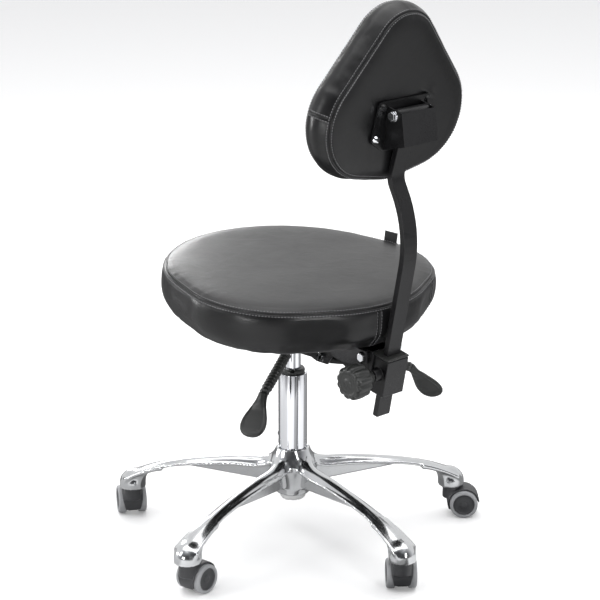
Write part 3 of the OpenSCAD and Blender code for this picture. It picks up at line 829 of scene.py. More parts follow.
def refine(moves, rows, fine_rows, fine_count):
    """Moves on a coarse grid carried to a finer one."""
    count = moves.shape[1]
    by_row = np.stack([[np.interp(fine_rows, rows, moves[:, j, k]) for j in range(count)]
                       for k in range(3)], -1).transpose(1, 0, 2)
    column = np.arange(fine_count) * count / fine_count
    whole = np.floor(column).astype(int)
    t = (column - whole)[None, :, None]
    before, start, end, after = [by_row[:, (whole + k) % count] for k in (-1, 0, 1, 2)]
    return 0.5 * (2 * start + (end - before) * t
                  + (2 * before - 5 * start + 4 * end - after) * t ** 2
                  + (3 * start - before - 3 * end + after) * t ** 3)


def grid_normals(grid, axis):
    """Unit normals, turned so that those near the first row point along +axis."""
    around = np.roll(grid, -1, 1) - np.roll(grid, 1, 1)
    normals = np.cross(around, np.gradient(grid, axis=0))
    normals = normals / np.maximum(np.linalg.norm(normals, axis=2), 1e-9)[..., None]
    return -normals if normals[5, :, axis].mean() < 0 else normals


# ------------------------------------------------------------------ cover details
def column_noise(around, scale, seed):
    """Noise that varies round the cover only; around is the nominal length of its edge."""
    share = np.arange(COVER_COLUMNS) / COVER_COLUMNS
    zeros = np.zeros(COVER_COLUMNS)
    return noise(np.column_stack([share * around, zeros, zeros]), scale, seed)[None, :]


def crease(distance, depth, width, roll, roll_at, roll_width):
    """A groove with a soft roll on each side."""
    return -depth * hump(distance, width) + roll * hump(np.abs(distance) - roll_at, roll_width)


def thread_grooves(distance, gap):
    """Sunk lines under the two rows of thread beside a seam."""
    return -0.35 * hump(distance + gap, 0.9) + -0.35 * hump(distance - gap, 0.9)


def join_columns(outline, places):
    """Columns of the outline nearest to the places of the joins across the boxing."""
    return [int(np.linalg.norm(outline - np.array(place), axis=1).argmin()) for place in places]


def from_column(column, around):
    """Signed distance of every column from one, round an edge of the given length."""
    half = COVER_COLUMNS / 2
    steps = (np.arange(COVER_COLUMNS) - column + half) % COVER_COLUMNS - half
    return steps * around / COVER_COLUMNS


def row_of(rows, length):
    """Fractional row number at a length along the path."""
    return np.interp(length, rows, np.arange(len(rows)))


def at_grid(grid, row, column):
    """Points on a grid at fractional rows and columns."""
    count = grid.shape[1]
    row = np.clip(row, 0, grid.shape[0] - 1.001)
    i, j = np.floor(row).astype(int), np.floor(column).astype(int)
    row_part, column_part = (row - i)[:, None], (column - j)[:, None]
    this, after = [grid[k, j % count] * (1 - column_part) + grid[k, (j + 1) % count] * column_part
                   for k in (i, i + 1)]
    return this * (1 - row_part) + after * row_part


# (share of the length, share of the radius, lift in 0.8 radii): sunk ends, proud middle
STITCH_SECTIONS = [(0.0, 0.35, -1.0), (0.12, 0.8, -0.25), (0.32, 1.0, 0.55),
                   (0.68, 1.0, 0.55), (0.88, 0.8, -0.25), (1.0, 0.35, -1.0)]
STITCH_LIFT = 0.25  # lift of the whole stitch, in radii
STITCH_SIDES = 6


def stitches(grid, normals, start, end, radius):
    """Short threads lying on a grid between (rows, columns) starts and ends."""
    ups = at_grid(normals, *start)
    ups = ups / np.linalg.norm(ups, axis=1)[:, None]
    sides = STITCH_SIDES
    verts, faces = [], []
    for head, tail, up in zip(at_grid(grid, *start), at_grid(grid, *end), ups):
        along = tail - head
        length = np.linalg.norm(along)
        along = along / length
        side = np.cross(up, along)
        side /= max(np.linalg.norm(side), 1e-9)
        first = len(verts)
        for share, size, lift in STITCH_SECTIONS:
            centre = head + along * length * share + up * radius * (lift * 0.8 + STITCH_LIFT)
            for k in range(sides):
                angle = k * math.pi / 3
                spoke = side * math.cos(angle) + up * math.sin(angle)
                verts.append(centre + spoke * radius * size)
        for i in range(len(STITCH_SECTIONS) - 1):
            here = first + i * sides
            for k in range(sides):
                after = (k + 1) % sides
                faces.append((here + k, here + after, here + sides + after, here + sides + k))
        last = first + (len(STITCH_SECTIONS) - 1) * sides
        faces.append(tuple(first + k for k in reversed(range(sides))))
        faces.append(tuple(last + k for k in range(sides)))
    return verts, faces


def seam_stitches(grid, normals, row, thread, shift):
    """Stitches round one row of the grid; shift is a share of the pitch."""
    columns = np.arange(0, COVER_COLUMNS, 0.25)
    points = at_grid(grid, np.full(len(columns), row), columns)
    steps = np.linalg.norm(np.diff(np.vstack([points, points[:1]]), axis=0), axis=1)
    lengths = np.concatenate([[0], np.cumsum(steps)])
    count = int(round(lengths[-1] / thread["pitch"]))
    places = (np.arange(count) + shift) * lengths[-1] / count
    starts = np.interp(places, lengths[:-1], columns)
    ends = np.interp(places + thread["length"], lengths[:-1], columns)
    rows = np.full(count, row)
    return stitches(grid, normals, (rows, starts), (rows, ends), thread["radius"])


def stitching_parts(grid, normals, rows, around, seams, boxing, joins, thread):
    """Two rows of thread at each seam, and two down each join across the boxing."""
    parts = []
    for seam in seams:
        for side, shift in ((-1, 0.0), (1, 0.5)):
            row = row_of(rows, seam + side * thread["seam_gap"])
            parts.append(seam_stitches(grid, normals, row, thread, shift))
    first, last = boxing[0] + thread["start_clear"], boxing[1] - thread["end_clear"]
    lengths = np.arange(first, last, thread["pitch"])
    for join in joins:
        for side in (-1, 1):
            column = join + side * thread["join_gap"] * COVER_COLUMNS / around
            columns = np.full(len(lengths), column)
            parts.append(stitches(grid, normals, (row_of(rows, lengths), columns),
                                  (row_of(rows, lengths + thread["length"]), columns),
                                  thread["radius"]))
    return join_parts(parts)


# ------------------------------------------------------------------ seat cushion
SEAT_TURN = rot_x(-4.2)
SEAT_ORIGIN = np.array([0, 0, 490])
SEAT_CIRCLES = [(0, 9, 222), (73, 40, 160), (-73, 40, 160), (0, -103, 110)]
# (outward offset, height): over the top, down the boxing and in under the seat
SEAT_PATH = [
    (-188, 11.2), (-120, 11.0), (-60, 10.4), (-30, 9.3), (-14, 7.2), (-5, 3.6), (-1.2, 0.6),
    (0.6, -2.4), (3.0, -9), (4.6, -20), (4.4, -34), (1.6, -48), (-3.2, -59), (-9.5, -68.3),
    (-17, -72.2), (-30, -72.9), (-45, -72.6), (-46.5, -71.3), (-60, -71.1), (-188, -71.1)]
SEAT_SEAM, SEAT_UNDER, SEAT_HEM = 6, 14, 17  # points of the path
SEAT_EDGE = 1350                             # nominal length round the seat, for noise
# one join beside the back bar, one towards the sitter's right
SEAT_JOINS = ((24, 231), (-150, 182))
SEAT_THREAD = dict(pitch=5.2, length=3.7, radius=0.72, seam_gap=4.2, join_gap=4.2,
                   start_clear=7, end_clear=6)


def seat_place(flat, height):
    points = np.column_stack([flat, np.full(len(flat), height)])
    return points @ SEAT_TURN.T + SEAT_ORIGIN


def seat_relief(grid, rows, seam, under):
    """Height added to the cover by its seam, gathers and foam."""
    from_seam = (rows - seam)[:, None]
    relief = crease(from_seam, depth=1.7, width=1.25, roll=0.35, roll_at=4.0, roll_width=2.2)
    relief = relief + thread_grooves(from_seam, SEAT_THREAD["seam_gap"])
    # gathers that run off the seam
    fine, broad = column_noise(SEAT_EDGE, 9.0, 3), column_noise(SEAT_EDGE, 23.0, 5)
    clear = 1 - hump(from_seam, 3.0)
    fade_up = np.exp(-np.maximum(-from_seam, 0) / 13.0) * clear * (from_seam < 0)
    fade_down = np.exp(-np.maximum(from_seam, 0) / 11.0) * clear * (from_seam > 0)
    relief = relief + ((0.26 * fine + 0.24 * broad) * fade_up
                       + (0.30 * fine + 0.3 * broad) * fade_down)
    # pulls over the bottom edge
    pulls = column_noise(SEAT_EDGE, 15.0, 8)
    relief += 0.8 * pulls * hump((rows - under)[:, None], 16.0)
    # slow unevenness of the foam and small creases
    squat = grid.reshape(-1, 3) * np.array([1, 1, 0.3])
    foam = noise(squat, 75.0, 11) * 0.5 + noise(squat, 26.0, 12) * 0.06
    foam = foam.reshape(relief.shape)
    return relief + foam * (1 - hump(from_seam, 8.0)) * (rows[:, None] < under)


def build_seat():
    cushion = Cushion(SEAT_CIRCLES, (0, -2), SEAT_PATH, rim=46.0, reach=186.0, place=seat_place)
    marks = cushion.marks
    seam, under, hem = marks[SEAT_SEAM], marks[SEAT_UNDER], marks[SEAT_HEM]

    def pins(length):
        if abs(length - seam) < 1.0 or length >= under - 0.5:
            return 1.0
        return 0.45 if length < seam else 0.02

    coarse = np.append(stations([0, seam, under], [34, 18]), hem)
    moves = cushion.simulate(coarse, 264, pins, shrink=-0.005)
    rows = stations([0, seam - 14, seam + 12, under, hem + 1.5, marks[-1]],
                    [50, 40, 34, 10, 10])
    grid = cushion.grid(rows, COVER_COLUMNS) + refine(moves, coarse, rows, COVER_COLUMNS)
    relief = seat_relief(grid, rows, seam, under)
    outline, _, around = hull_outline(SEAT_CIRCLES, COVER_COLUMNS)
    joins = join_columns(outline, SEAT_JOINS)
    band = ((rows > seam + 1) & (rows < under + 2))[:, None]
    for join in joins:
        relief += band * crease(from_column(join, around), depth=1.3, width=1.4,
                                roll=0.4, roll_at=4.5, roll_width=2.5)[None, :]
    relief *= (rows < hem)[:, None]
    grid = grid + grid_normals(grid, axis=2) * relief[..., None]
    verts, faces = loft(grid, caps=True)
    cover = make("seat_cushion", verts, faces, SEAT_LEATHER, "seat",
                 ("seat_pad", "seat_board"))
    # the lining covers the underside within the hem
    cover.data.materials.append(LINING)
    hem_row = row_of(rows, hem)
    lined = [int(min(face.vertices[:]) // COVER_COLUMNS >= hem_row - 0.5)
             for face in cover.data.polygons]
    cover.data.polygons.foreach_set("material_index", np.array(lined, np.int32))
    fix_normals(cover)
    verts, faces = stitching_parts(grid, grid_normals(grid, axis=2), rows, around, (seam,),
                                   (seam, under), joins, SEAT_THREAD)
    make("seat_stitching", verts, faces, THREAD, "seat")


# ------------------------------------------------------------------ backrest cushion
BACK_TURN = rot_x(-8.5)
BACK_ORIGIN = np.array([0, 250, 800])
BACK_CIRCLES = [(0, 89, 68), (62, -18, 88), (-62, -18, 88), (0, 0, 118)]  # (x, z, radius)
# (outward offset, y): over the rear panel, along the boxing and over the front panel
BACK_PATH = [
    (-112, 1.7), (-70, 1.6), (-45, 1.3), (-28, 0.6), (-16, -0.9), (-7, -3.4), (-1.4, -7.0),
    (1.0, -9.8), (4.2, -16), (7.2, -25), (8.2, -33), (7.0, -43), (3.6, -51.5), (0.2, -56.2),
    (-2.6, -59.4), (-9, -62.6), (-21, -65.4), (-40, -67.2), (-75, -68.4), (-112, -68.8)]
BACK_REAR, BACK_FRONT = 6, 13  # points of the path at the two seams
BACK_EDGE = 900                # nominal length round the backrest, for noise
BACK_JOINS = ((150, 2), (-150, 2))
BACK_THREAD = dict(pitch=4.6, length=3.3, radius=0.7, seam_gap=4.0, join_gap=3.8,
                   start_clear=6.5, end_clear=6)
# (x, z, depth of the dimple, height of the three-armed pucker round it)
FIXING_DIMPLES = ((57, -40, 0.9, 0.12), (-57, -40, 0.9, 0.12),
                  (50, 11, 1.0, 0.2), (-50, 11, 1.6, 0.75))
FOLD_X, FOLD_Z = -57, 19


def back_place(flat, depth):
    points = np.column_stack([flat[:, 0], np.full(len(flat), depth), flat[:, 1]])
    return points @ BACK_TURN.T + BACK_ORIGIN


def panel_relief(local):
    """Dimples and a fold on the rear panel, from points in the backrest's own frame."""
    relief = np.zeros(local.shape[:2])
    # the cover is drawn in round the four fixings, most of all at the upper one on -x
    for x, z, depth, pucker in FIXING_DIMPLES:
        from_x, from_z = local[..., 0] - x, local[..., 2] - z
        out = np.hypot(from_x, from_z)
        angle = np.arctan2(from_z, from_x)
        relief += -depth * hump(out, 9.5) + pucker * np.cos(3 * angle + 0.9) * hump(out - 15, 9.0)
    # one fold above that fixing: a ridge with a groove below it
    from_x, from_z = local[..., 0] - FOLD_X, local[..., 2] - FOLD_Z
    along, across = from_x * 0.86 + from_z * 0.5, -from_x * 0.5 + from_z * 0.86
    return relief + (1.1 * hump(across, 3.4) * hump(along, 13.0)
                     - 0.9 * hump(across + 6, 3.6) * hump(along, 11.0))


def back_relief(grid, rows, rear, front):
    """Height added to the cover by its seams, gathers, foam and fixings."""
    relief = np.zeros(grid.shape[:2])
    fine, broad, boxing = [column_noise(BACK_EDGE, scale, seed)
                           for scale, seed in ((8.0, 21), (21.0, 22), (12.0, 23))]
    for seam in (rear, front):
        from_seam = (rows - seam)[:, None]
        relief += crease(from_seam, depth=1.7, width=1.2, roll=0.45, roll_at=4.2, roll_width=2.2)
        relief += thread_grooves(from_seam, BACK_THREAD["seam_gap"])
        soft = np.exp(-np.abs(from_seam) / 11.0) * (1 - hump(from_seam, 3.0))
        relief += (0.22 * fine + 0.26 * broad) * soft
    band = ((rows > rear) & (rows < front))[:, None]
    share = np.clip((rows[:, None] - rear) / (front - rear), 0, 1)
    relief += band * 0.35 * boxing * np.sin(np.pi * share)
    # slow unevenness of the foam, less of it on the rear panel
    flat = grid.reshape(-1, 3)
    foam = (noise(flat, 62.0, 31) * 0.55 + noise(flat, 24.0, 32) * 0.09).reshape(relief.shape)
    near = np.minimum(np.abs(rows - rear), np.abs(rows - front))[:, None]
    relief += foam * (1 - hump(near, 8.0)) * np.where(rows[:, None] < rear, 0.5, 1.0)
    local = ((flat - BACK_ORIGIN) @ BACK_TURN).reshape(grid.shape)
    return relief + (rows < rear - 4)[:, None] * panel_relief(local)


def build_back():
    cushion = Cushion(BACK_CIRCLES, (0, 10), BACK_PATH, rim=30.0, reach=112.0, place=back_place)
    marks = cushion.marks
    rear, front, end = marks[BACK_REAR], marks[BACK_FRONT], marks[-1]

    def pins(length):
        if abs(length - rear) < 1.0 or abs(length - front) < 1.0:
            return 1.0
        if length < rear:
            return 0.6
        return 0.4 if length > front else 0.02

    coarse = stations([0, rear, front, end], [24, 17, 24])
    moves = cushion.simulate(coarse, 208, pins, shrink=-0.006, both_ends=True)
    # the rear panel lies on the board, so it hardly swells
    moves *= np.where(coarse < rear - 2, 0.2, 1.0)[:, None, None]
    rows = stations([0, rear - 14, rear + 12, front - 12, front + 14, end],
                    [64, 40, 26, 40, 44])
    grid = cushion.grid(rows, COVER_COLUMNS) + refine(moves, coarse, rows, COVER_COLUMNS)
    relief = back_relief(grid, rows, rear, front)
    outline, _, around = hull_outline(BACK_CIRCLES, COVER_COLUMNS)
    joins = join_columns(outline, BACK_JOINS)
    band = ((rows > rear + 1) & (rows < front - 1))[:, None]
    for join in joins:
        relief += band * crease(from_column(join, around), depth=1.3, width=1.3,
                                roll=0.45, roll_at=4.2, roll_width=2.4)[None, :]
    grid = grid + grid_normals(grid, axis=1) * relief[..., None]
    verts, faces = loft(grid, caps=True)
    fix_normals(make("backrest_cushion", verts, faces, BACK_LEATHER, "backrest",
                     ("backrest_pad", "backrest_board")))
    verts, faces = stitching_parts(grid, grid_normals(grid, axis=1), rows, around,
                                   (rear, front), (rear, front), joins, BACK_THREAD)
    make("backrest_stitching", verts, faces, THREAD, "backrest")


# ------------------------------------------------------------------ label tab
TAB_HEADING = 192  # from the centre of the seat's rounded corner on -x
TAB_HALF = 13.0
TAB_FOOT, TAB_RISE = 0.2, 20.2
TAB_ROWS, TAB_STEPS = 24, 14


def build_tab():
    """A folded strip of tape standing up from the seat's top seam."""
    centre_x, centre_y, radius = SEAT_CIRCLES[2]
    out_x, out_y = math.cos(rad(TAB_HEADING)), math.sin(rad(TAB_HEADING))
    foot_x, foot_y = centre_x + (radius - 0.4) * out_x, centre_y + (radius - 0.4) * out_y
    sweep = [-1 + 2 * k / TAB_STEPS for k in range(TAB_STEPS + 1)]
    section = [(-1, across) for across in sweep] + [(1, -across) for across in sweep]
    rings = []
    for i in range(TAB_ROWS + 1):
        t = i / TAB_ROWS
        lean = 1.6 * t * t + 0.5 * math.sin(3.0 * t)
        half = TAB_HALF - 0.25 * math.sin(math.pi * t)
        thick = 0.55 + 0.5 * math.sin(math.pi * min(1, t * 1.05)) * 0.8
        if t > 0.94:
            thick *= 0.55
        ring = []
        for face, across in section:
            wave = 0.28 * math.sin(7 * across + 2.4 * t) * t
            out = lean + wave + face * thick
            side = across * half
            ring.append((foot_x + out_x * out - out_y * side,
                         foot_y + out_y * out + out_x * side, TAB_FOOT + TAB_RISE * t))
        rings.append(ring)
    grid = np.array(rings)
    points = seat_place(grid[..., :2].reshape(-1, 2), grid[..., 2].reshape(-1))
    verts, faces = loft(points.reshape(grid.shape), caps=True)
    fix_normals(make("tab_tape", verts, faces, FABRIC, "seat", ("label_tab",)))


# ------------------------------------------------------------------ clamp knob
KNOB_TILT = -11.5
KNOB_ORIGIN = (0, 213, 282)
KNOB_AXIS_Z = 80.6  # the knob's axis lies along x at this height in its tilted frame
KNOB_LOBES, KNOB_LOBE_DEPTH, KNOB_COLUMNS = 12, 3.0, 168
# (x, radius, share of the lobe depth)
KNOB_PROFILE = [
    (19.2, 3.6, 0), (19.5, 3.95, 0), (42.6, 3.95, 0), (42.9, 9.5, 0), (43.1, 11.2, 0),
    (43.9, 11.9, 0), (52, 11.9, 0), (60.6, 12.3, 0), (61.6, 13.6, 0), (62.1, 17, 0),
    (62.4, 21, 0.2), (62.9, 24.5, 0.5), (64.0, 26.9, 0.85), (65.8, 28.2, 1), (69, 28.8, 1),
    (79, 29.2, 1), (87, 28.7, 1), (91, 27.6, 0.95), (93.6, 25.4, 0.8), (95.0, 23.0, 0.5),
    (95.6, 20.6, 0.2), (95.5, 19.2, 0.05), (94.7, 18.3, 0), (94.2, 17.4, 0), (94.1, 16, 0),
    (94.2, 10.6, 0), (94.5, 7.2, 0), (95.1, 6.6, 0), (95.3, 5.6, 0), (95.3, 2.8, 0)]


def build_knob():
    angles = full_turn(KNOB_COLUMNS)
    cut = KNOB_LOBE_DEPTH * (0.5 - 0.5 * np.cos(KNOB_LOBES * angles)) ** 1.6
    rings = []
    for x, radius, share in KNOB_PROFILE:
        spoke = radius - share * cut
        rings.append(np.column_stack([np.full(KNOB_COLUMNS, x), spoke * np.cos(angles),
                                      KNOB_AXIS_Z + spoke * np.sin(angles)]))
    verts, faces = loft(placed(np.array(rings), rot_x(KNOB_TILT), KNOB_ORIGIN), caps=True)
    fix_normals(make("knob_grip", verts, faces, BLACK_PLASTIC, "hand_knob",
                     ("clamp_knob",)))


# ------------------------------------------------------------------ lever grips
# (outward, up) from the pivot, in the lever's own upright plane
SLEEVE_START, SLEEVE_END = np.array([10.0, -5.0]), np.array([98.0, -52.0])
PADDLE_TIP = np.array([150.0, -112.0])
SLEEVE_COLUMNS, PADDLE_COLUMNS = 56, 72
RIB_COUNT, RIB_PITCH, FIRST_RIB = 12, 7, 6
# (distance from the rib's start, radius)
RIB = [(-0.4, 6.5), (0, 8.3), (0.7, 9.1), (1.8, 9.2), (3.4, 8.6), (4.8, 7.8), (5.5, 7.0),
       (6.0, 6.3)]
# (distance along the sleeve, radius)
SLEEVE = [(4.0, 4.2), (4.0, 6.4), (4.6, 7.4)]
SLEEVE += [(FIRST_RIB + RIB_PITCH * k + step, radius) for k in range(RIB_COUNT)
           for step, radius in RIB]
SLEEVE += [(90.5, 7.2), (92, 8.0), (96, 8.2)]
# (distance along the paddle, half width, half thickness)
PADDLE = np.array([
    (-3, 6.6, 6.6), (0, 8.0, 7.6), (6, 8.6, 7.0), (13, 9.8, 5.6), (21, 12.2, 4.7),
    (30, 16.0, 4.4), (40, 20.2, 4.3), (50, 22.8, 4.2), (59, 23.0, 4.1), (66, 20.9, 4.0),
    (71.5, 17.0, 3.7), (75, 11.8, 3.2), (76.6, 6.5, 2.4), (77.1, 2.0, 1.2)])


def line_axes(start, end):
    """Unit directions along and square to a line in the lever's plane."""
    along = (end - start) / np.linalg.norm(end - start)
    return along, np.array([-along[1], along[0]])


def sleeve_rings():
    """Bellows sleeve; it sags a little and its ribs are not quite round."""
    along, square = line_axes(SLEEVE_START, SLEEVE_END)
    angles = full_turn(SLEEVE_COLUMNS)
    rings = []
    for place, radius in SLEEVE:
        centre = SLEEVE_START + along * place
        sag = -0.9 * math.sin(math.pi * min(1.0, place / 100.0))
        spoke = radius * (1 + 0.012 * np.cos(2 * angles + 0.05 * place))
        lift = spoke * np.cos(angles) + sag
        rings.append(np.column_stack([centre[0] + square[0] * lift, spoke * np.sin(angles),
                                      centre[1] + square[1] * lift]))
    return np.array(rings)


def paddle_rings(twist):
    """Dished paddle, turned by twist about its own length."""
    along, square = line_axes(SLEEVE_END, PADDLE_TIP)
    angles = full_turn(PADDLE_COLUMNS)
    cos, sin = np.cos(angles), np.sin(angles)
    rings = []
    for place in stations([-3, 66, 77.1], [44, 22]):
        half, thick = [np.interp(place, PADDLE[:, 0], PADDLE[:, k]) for k in (1, 2)]
        # the section turns from an oval to a rounded oblong
        boxy = float(smooth_step(4, 24, place))
        wide = half * np.sign(cos) * np.abs(cos) ** (1 - 0.30 * boxy)
        deep = thick * np.sign(sin) * np.abs(sin) ** (1 - 0.42 * boxy)
        inner = np.clip(1 - (np.abs(wide) / half) ** 2, 0, 1)
        dish = 0.42 * float(smooth_step(18, 32, place)) * (1 - float(smooth_step(62, 72, place)))
        deep = deep * (1 - dish * smooth_step(0.22, 0.5, inner))
        turn = rad(twist) * float(smooth_step(0, 22, place))
        side = wide * math.cos(turn) - deep * math.sin(turn)
        lift = wide * math.sin(turn) + deep * math.cos(turn)
        centre = SLEEVE_END + along * place
        rings.append(np.column_stack([centre[0] + square[0] * lift, side,
                                      centre[1] + square[1] * lift]))
    return np.array(rings)


def build_grip(name, pivot, heading, twist, body, node):
    parts = [loft(placed(rings, rot_z(heading), pivot), caps=True)
             for rings in (sleeve_rings(), paddle_rings(twist))]
    verts, faces = join_parts(parts)
    fix_normals(make(name, verts, faces, BLACK_PLASTIC, body, (node,)))


# ------------------------------------------------------------------ casters
# In a caster's own frame the stem lies on z and the axle is on the +x side, along y.
CASTER_HEADINGS = (188, 229, 137, 205, 238)
AXLE_X, AXLE_Z = 22, 25
NECK_RADIUS, NECK_TOP, NECK_FOOT = 15.2, 56.75, 33
DISC_RADIUS, DISC_HALF, DISC_FOOT = 27.4, 8.8, 10       # wall between the wheels
SHELL_RADIUS, SHELL_HALF_THICK, SHELL_FOOT = 27.3, 1.25, 12.5
WHEEL_SPACE, WHEEL_GAP = 25.9, 9.6                      # radius, and y where the space begins
MOUTH_TOP = 26.5
PARTING_Z = 47.5
HOOD_CELL = 1.15
WHEEL_COLUMNS = 96
# (height, half width of the shell)
SHELL_WIDTH = np.array([(12, 13.2), (20, 15.0), (32, 17.6), (44, 18.6)]).T
# (distance from the middle plane, radius)
TYRE_PROFILE = [
    (11.0, 19.3), (11.0, 22.8), (11.5, 24.2), (12.8, 24.9), (14.0, 24.95), (21.0, 24.95),
    (22.6, 24.8), (24.2, 24.0), (25.1, 22.5), (25.3, 21.0), (25.1, 20.0), (24.6, 19.4),
    (23.6, 19.1), (22.4, 19.2)]
WHEEL_PROFILE = [
    (10.2, 3.2), (10.2, 18.7), (10.8, 19.0), (22.6, 19.0), (23.3, 18.7), (23.5, 18.1),
    (23.2, 17.4), (22.2, 16.8), (21.6, 16.0), (21.4, 14.5), (21.4, 7.4), (21.7, 6.6),
    (22.5, 6.2), (22.9, 5.4), (23.0, 3.5), (23.0, 1.2)]


def hood_field(points):
    x, y, z = points[:, 0], points[:, 1], points[:, 2]
    side = np.abs(y)
    neck = np.hypot(x, y) - (NECK_RADIUS - 0.6 * smooth_step(50, 56.8, z))
    neck = soft_max(soft_max(neck, z - NECK_TOP, 1.2), NECK_FOOT - z, 2)
    out = np.hypot(x - AXLE_X, z - AXLE_Z)
    disc = soft_max(out - DISC_RADIUS, side - DISC_HALF, 1.6)
    disc = soft_max(disc, DISC_FOOT - z, 1.5)
    shell = np.abs(out - SHELL_RADIUS) - SHELL_HALF_THICK
    shell = soft_max(shell, side - np.interp(z, *SHELL_WIDTH), 1.2)
    shell = soft_max(shell, SHELL_FOOT - z, 1.2)
    field = soft_min(soft_min(disc, shell, 2.2), neck, 4.5)
    # open below the mouth on the +x side of the axle
    field = soft_max(field, np.minimum(x - AXLE_X, MOUTH_TOP - z), 1.2)
    # the wheels turn free inside
    field = soft_max(field, -np.maximum(out - WHEEL_SPACE, WHEEL_GAP - side), 0.6)
    # a fine parting line round the neck
    return field + 0.5 * hump(z - PARTING_Z, 0.7)


def turned_pair(profile, ring=False):
    """A profile turned about the axle, on both sides; ring closes it on itself, else capped."""
    angles = full_turn(WHEEL_COLUMNS)
    parts = []
    for side in (-1, 1):
        rings = [np.column_stack([AXLE_X + radius * np.cos(angles),
                                  np.full(WHEEL_COLUMNS, side * y),
                                  AXLE_Z + radius * np.sin(angles)]) for y, radius in profile]
        parts.append(loft(rings, caps=not ring, wrap=ring))
    return join_parts(parts)


def build_casters():
    hood = surface_net(hood_field, (-18, -24, 7), (54, 24, 59), HOOD_CELL)
    # (name ending, shape, material, body ending, slot, ending of the node it replaces)
    pieces = (
        ("cover", hood, GREY_PLASTIC, "", "caster_plastic", "hood"),
        ("tyres", turned_pair(TYRE_PROFILE, ring=True), TREAD, "_rollers", "tread", "treads"),
        ("discs", turned_pair(WHEEL_PROFILE), GREY_PLASTIC, "_rollers", "caster_plastic",
         "wheels"))
    for i, heading in enumerate(CASTER_HEADINGS):
        angle = rad(FIRST_ARM + ARM_PITCH * i)
        stem = (CASTER_CIRCLE * math.cos(angle), CASTER_CIRCLE * math.sin(angle), 0)
        caster = f"caster_{i + 1}"
        for ending, (verts, faces), material, body, slot, node in pieces:
            verts = placed(np.array(verts, float), rot_z(heading), stem)
            fix_normals(make(f"{caster}_{ending}", verts, faces, material, caster + body,
                             (f"{caster}_{node}",)))


# ------------------------------------------------------------------ stage
VIEW_HEADING = rad(136.8)  # from -y towards +x: the side the studio is seen from
PALE = (0.93, 0.93, 0.93)
FLOOR_HALF = 40            # metres
# (share of a turn about the stool, grey of the floor as seen in reflections)
FLOOR_BANDS = [
    (0.0, 0.06), (0.155, 0.08), (0.175, 0.42), (0.37, 0.52), (0.39, 0.86), (0.515, 0.80),
    (0.53, 0.30), (0.575, 0.26), (0.585, 0.07), (0.603, 0.07), (0.615, 0.88), (0.74, 0.80),
    (0.77, 0.25), (1.0, 0.08)]
# (0 away from the camera to 1 towards it, colour of the surroundings)
WORLD_SIDES = [(0.0, (1.0, 1.0, 1.0)), (0.42, (0.95, 0.95, 0.96)), (0.62, (0.5, 0.5, 0.52)),
               (0.82, (0.10, 0.10, 0.105)), (1.0, (0.06, 0.06, 0.065))]
# (upward part of the direction, colour of the surroundings)
WORLD_TOP = [(0.45, (0.0, 0.0, 0.0)), (0.85, (0.5, 0.51, 0.53))]
# (name, place, target, width, height, watts)
LIGHTS = [
    ("overhead", (0.0, 0.0, 4.2), (0, 0, 0), 5.0, 5.0, 150),
    ("side", (3.0, -1.2, 1.9), (0, 0, 0.5), 0.9, 1.6, 22),
    ("rim", (0.75, 2.9, 1.15), (0, 0.2, 0.78), 0.35, 1.3, 24),
    ("glow_1", (1.5, -2.0, 0.56), (0.1, -0.1, 0.47), 0.5, 0.22, 11),
    ("glow_2", (2.44, 0.56, 0.58), (0.1, 0.0, 0.47), 0.6, 0.22, 11),
    ("back_left", (-1.4, -2.85, 1.3), (0, 0, 0.5), 1.3, 0.5, 22),
]


def build_floor():
    """Plain and pale to the camera; in reflections it falls into soft bands of a studio."""
    mesh = bpy.data.meshes.new("floor")
    half = FLOOR_HALF
    mesh.from_pydata([(-half, -half, 0), (half, -half, 0), (half, half, 0), (-half, half, 0)],
                     [], [(0, 1, 2, 3)])
    floor = bpy.data.objects.new("floor", mesh)
    scene.collection.objects.link(floor)
    shader = Shader("floor_pale")
    shader.set(Roughness=0.75)
    split = shader.node("ShaderNodeSeparateXYZ")
    shader.link(shader.coords.outputs["Object"], split.inputs[0])
    x, y = split.outputs["X"], split.outputs["Y"]
    cos, sin = math.cos(VIEW_HEADING), math.sin(VIEW_HEADING)
    towards = shader.add(shader.times(x, sin), shader.times(y, -cos))
    across = shader.add(shader.times(x, cos), shader.times(y, sin))
    angle = shader.maths("ARCTAN2", across, towards)
    turn = shader.add(shader.maths("DIVIDE", angle, 2 * math.pi), 0.5)
    bands = shader.ramp(turn, FLOOR_BANDS)
    camera_ray = shader.node("ShaderNodeLightPath").outputs["Is Camera Ray"]
    shader.out("Base Color", shader.mix(camera_ray, bands, PALE))
    shader.set(Emission_Color=(1, 1, 1, 1))
    shader.out("Emission Strength", shader.times(camera_ray, 0.10))
    mesh.materials.append(shader.material)


def build_world():
    """A studio that is bright beyond and above the stool and falls off towards the camera."""
    world = bpy.data.worlds.new("studio")
    scene.world = world
    world.use_nodes = True
    nodes = Nodes(world.node_tree)
    background = nodes.tree.nodes["Background"]
    direction = nodes.coords.outputs["Generated"]
    dot = nodes.node("ShaderNodeVectorMath", operation="DOT_PRODUCT")
    nodes.link(direction, dot.inputs[0])
    dot.inputs[1].default_value = (math.sin(VIEW_HEADING), -math.cos(VIEW_HEADING), 0)
    facing = nodes.add(nodes.times(dot.outputs["Value"], 0.5), 0.5)
    sides = nodes.ramp(facing, WORLD_SIDES)
    split = nodes.node("ShaderNodeSeparateXYZ")
    nodes.link(direction, split.inputs[0])
    top = nodes.ramp(split.outputs["Z"], WORLD_TOP)
    studio = nodes.mix(1.0, sides, top, blend="LIGHTEN")
    light_path = nodes.node("ShaderNodeLightPath")
    seen = nodes.mix(light_path.outputs["Is Camera Ray"], studio, PALE)
    nodes.link(seen, background.inputs["Color"])
    background.inputs["Strength"].default_value = 1.0


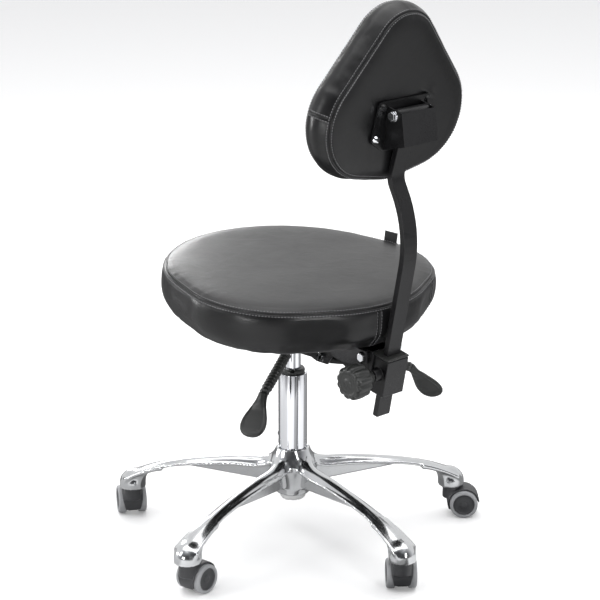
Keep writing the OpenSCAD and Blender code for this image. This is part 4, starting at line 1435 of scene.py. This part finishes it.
def build_lights():
    for name, place, target, width, height, watts in LIGHTS:
        light = bpy.data.lights.new(name, "AREA")
        light.energy = watts
        light.shape = "RECTANGLE"
        light.size = width
        light.size_y = height
        lamp = bpy.data.objects.new(name, light)
        scene.collection.objects.link(lamp)
        lamp.location = place
        lamp.rotation_mode = "QUATERNION"
        aim = Vector(target) - Vector(place)
        lamp.rotation_quaternion = aim.to_track_quat("-Z", "Y")


CAMERA_HEADING = rad(136.8146)  # from -y towards +x
CAMERA_DISTANCE, CAMERA_HEIGHT = 3.469, 1.4896  # metres from the z axis and from the floor
CAMERA_PITCH, CAMERA_YAW = 0.2961, 0.0036       # radians down, and to the camera's right
SENSOR_WIDTH, LENS = 36, 128.063214             # millimetres


def build_camera():
    data = bpy.data.cameras.new("camera")
    camera = bpy.data.objects.new("camera", data)
    scene.collection.objects.link(camera)
    cos, sin = math.cos(CAMERA_HEADING), math.sin(CAMERA_HEADING)
    place = Vector((CAMERA_DISTANCE * sin, -CAMERA_DISTANCE * cos, CAMERA_HEIGHT))
    inward, sideways = Vector((-sin, cos, 0)), Vector((cos, sin, 0))
    level = inward * math.cos(CAMERA_YAW) + sideways * math.sin(CAMERA_YAW)
    right = sideways * math.cos(CAMERA_YAW) - inward * math.sin(CAMERA_YAW)
    upright = Vector((0, 0, 1))
    ahead = level * math.cos(CAMERA_PITCH) - upright * math.sin(CAMERA_PITCH)
    up = level * math.sin(CAMERA_PITCH) + upright * math.cos(CAMERA_PITCH)
    rows = [(right[k], up[k], -ahead[k], place[k]) for k in range(3)]
    camera.matrix_world = Matrix((*rows, (0, 0, 0, 1)))
    data.sensor_width = SENSOR_WIDTH
    data.lens = LENS
    data.clip_start = 0.05
    data.clip_end = 200
    scene.camera = camera
    scene.view_settings.view_transform = "Standard"


# ------------------------------------------------------------------ build
dress_frame()
build_base()
build_casters()
build_seat()
build_back()
build_tab()
build_knob()
build_grip("height_lever_handle", pivot=(48, 45, 368), heading=20, twist=0,
           body="height_lever", node="height_lever_grip")
build_grip("tilt_lever_handle", pivot=(-48, 113, 366), heading=160, twist=-38,
           body="tilt_lever", node="tilt_lever_grip")
blacken_upper_fixings()
build_floor()
build_world()
build_lights()
build_camera()
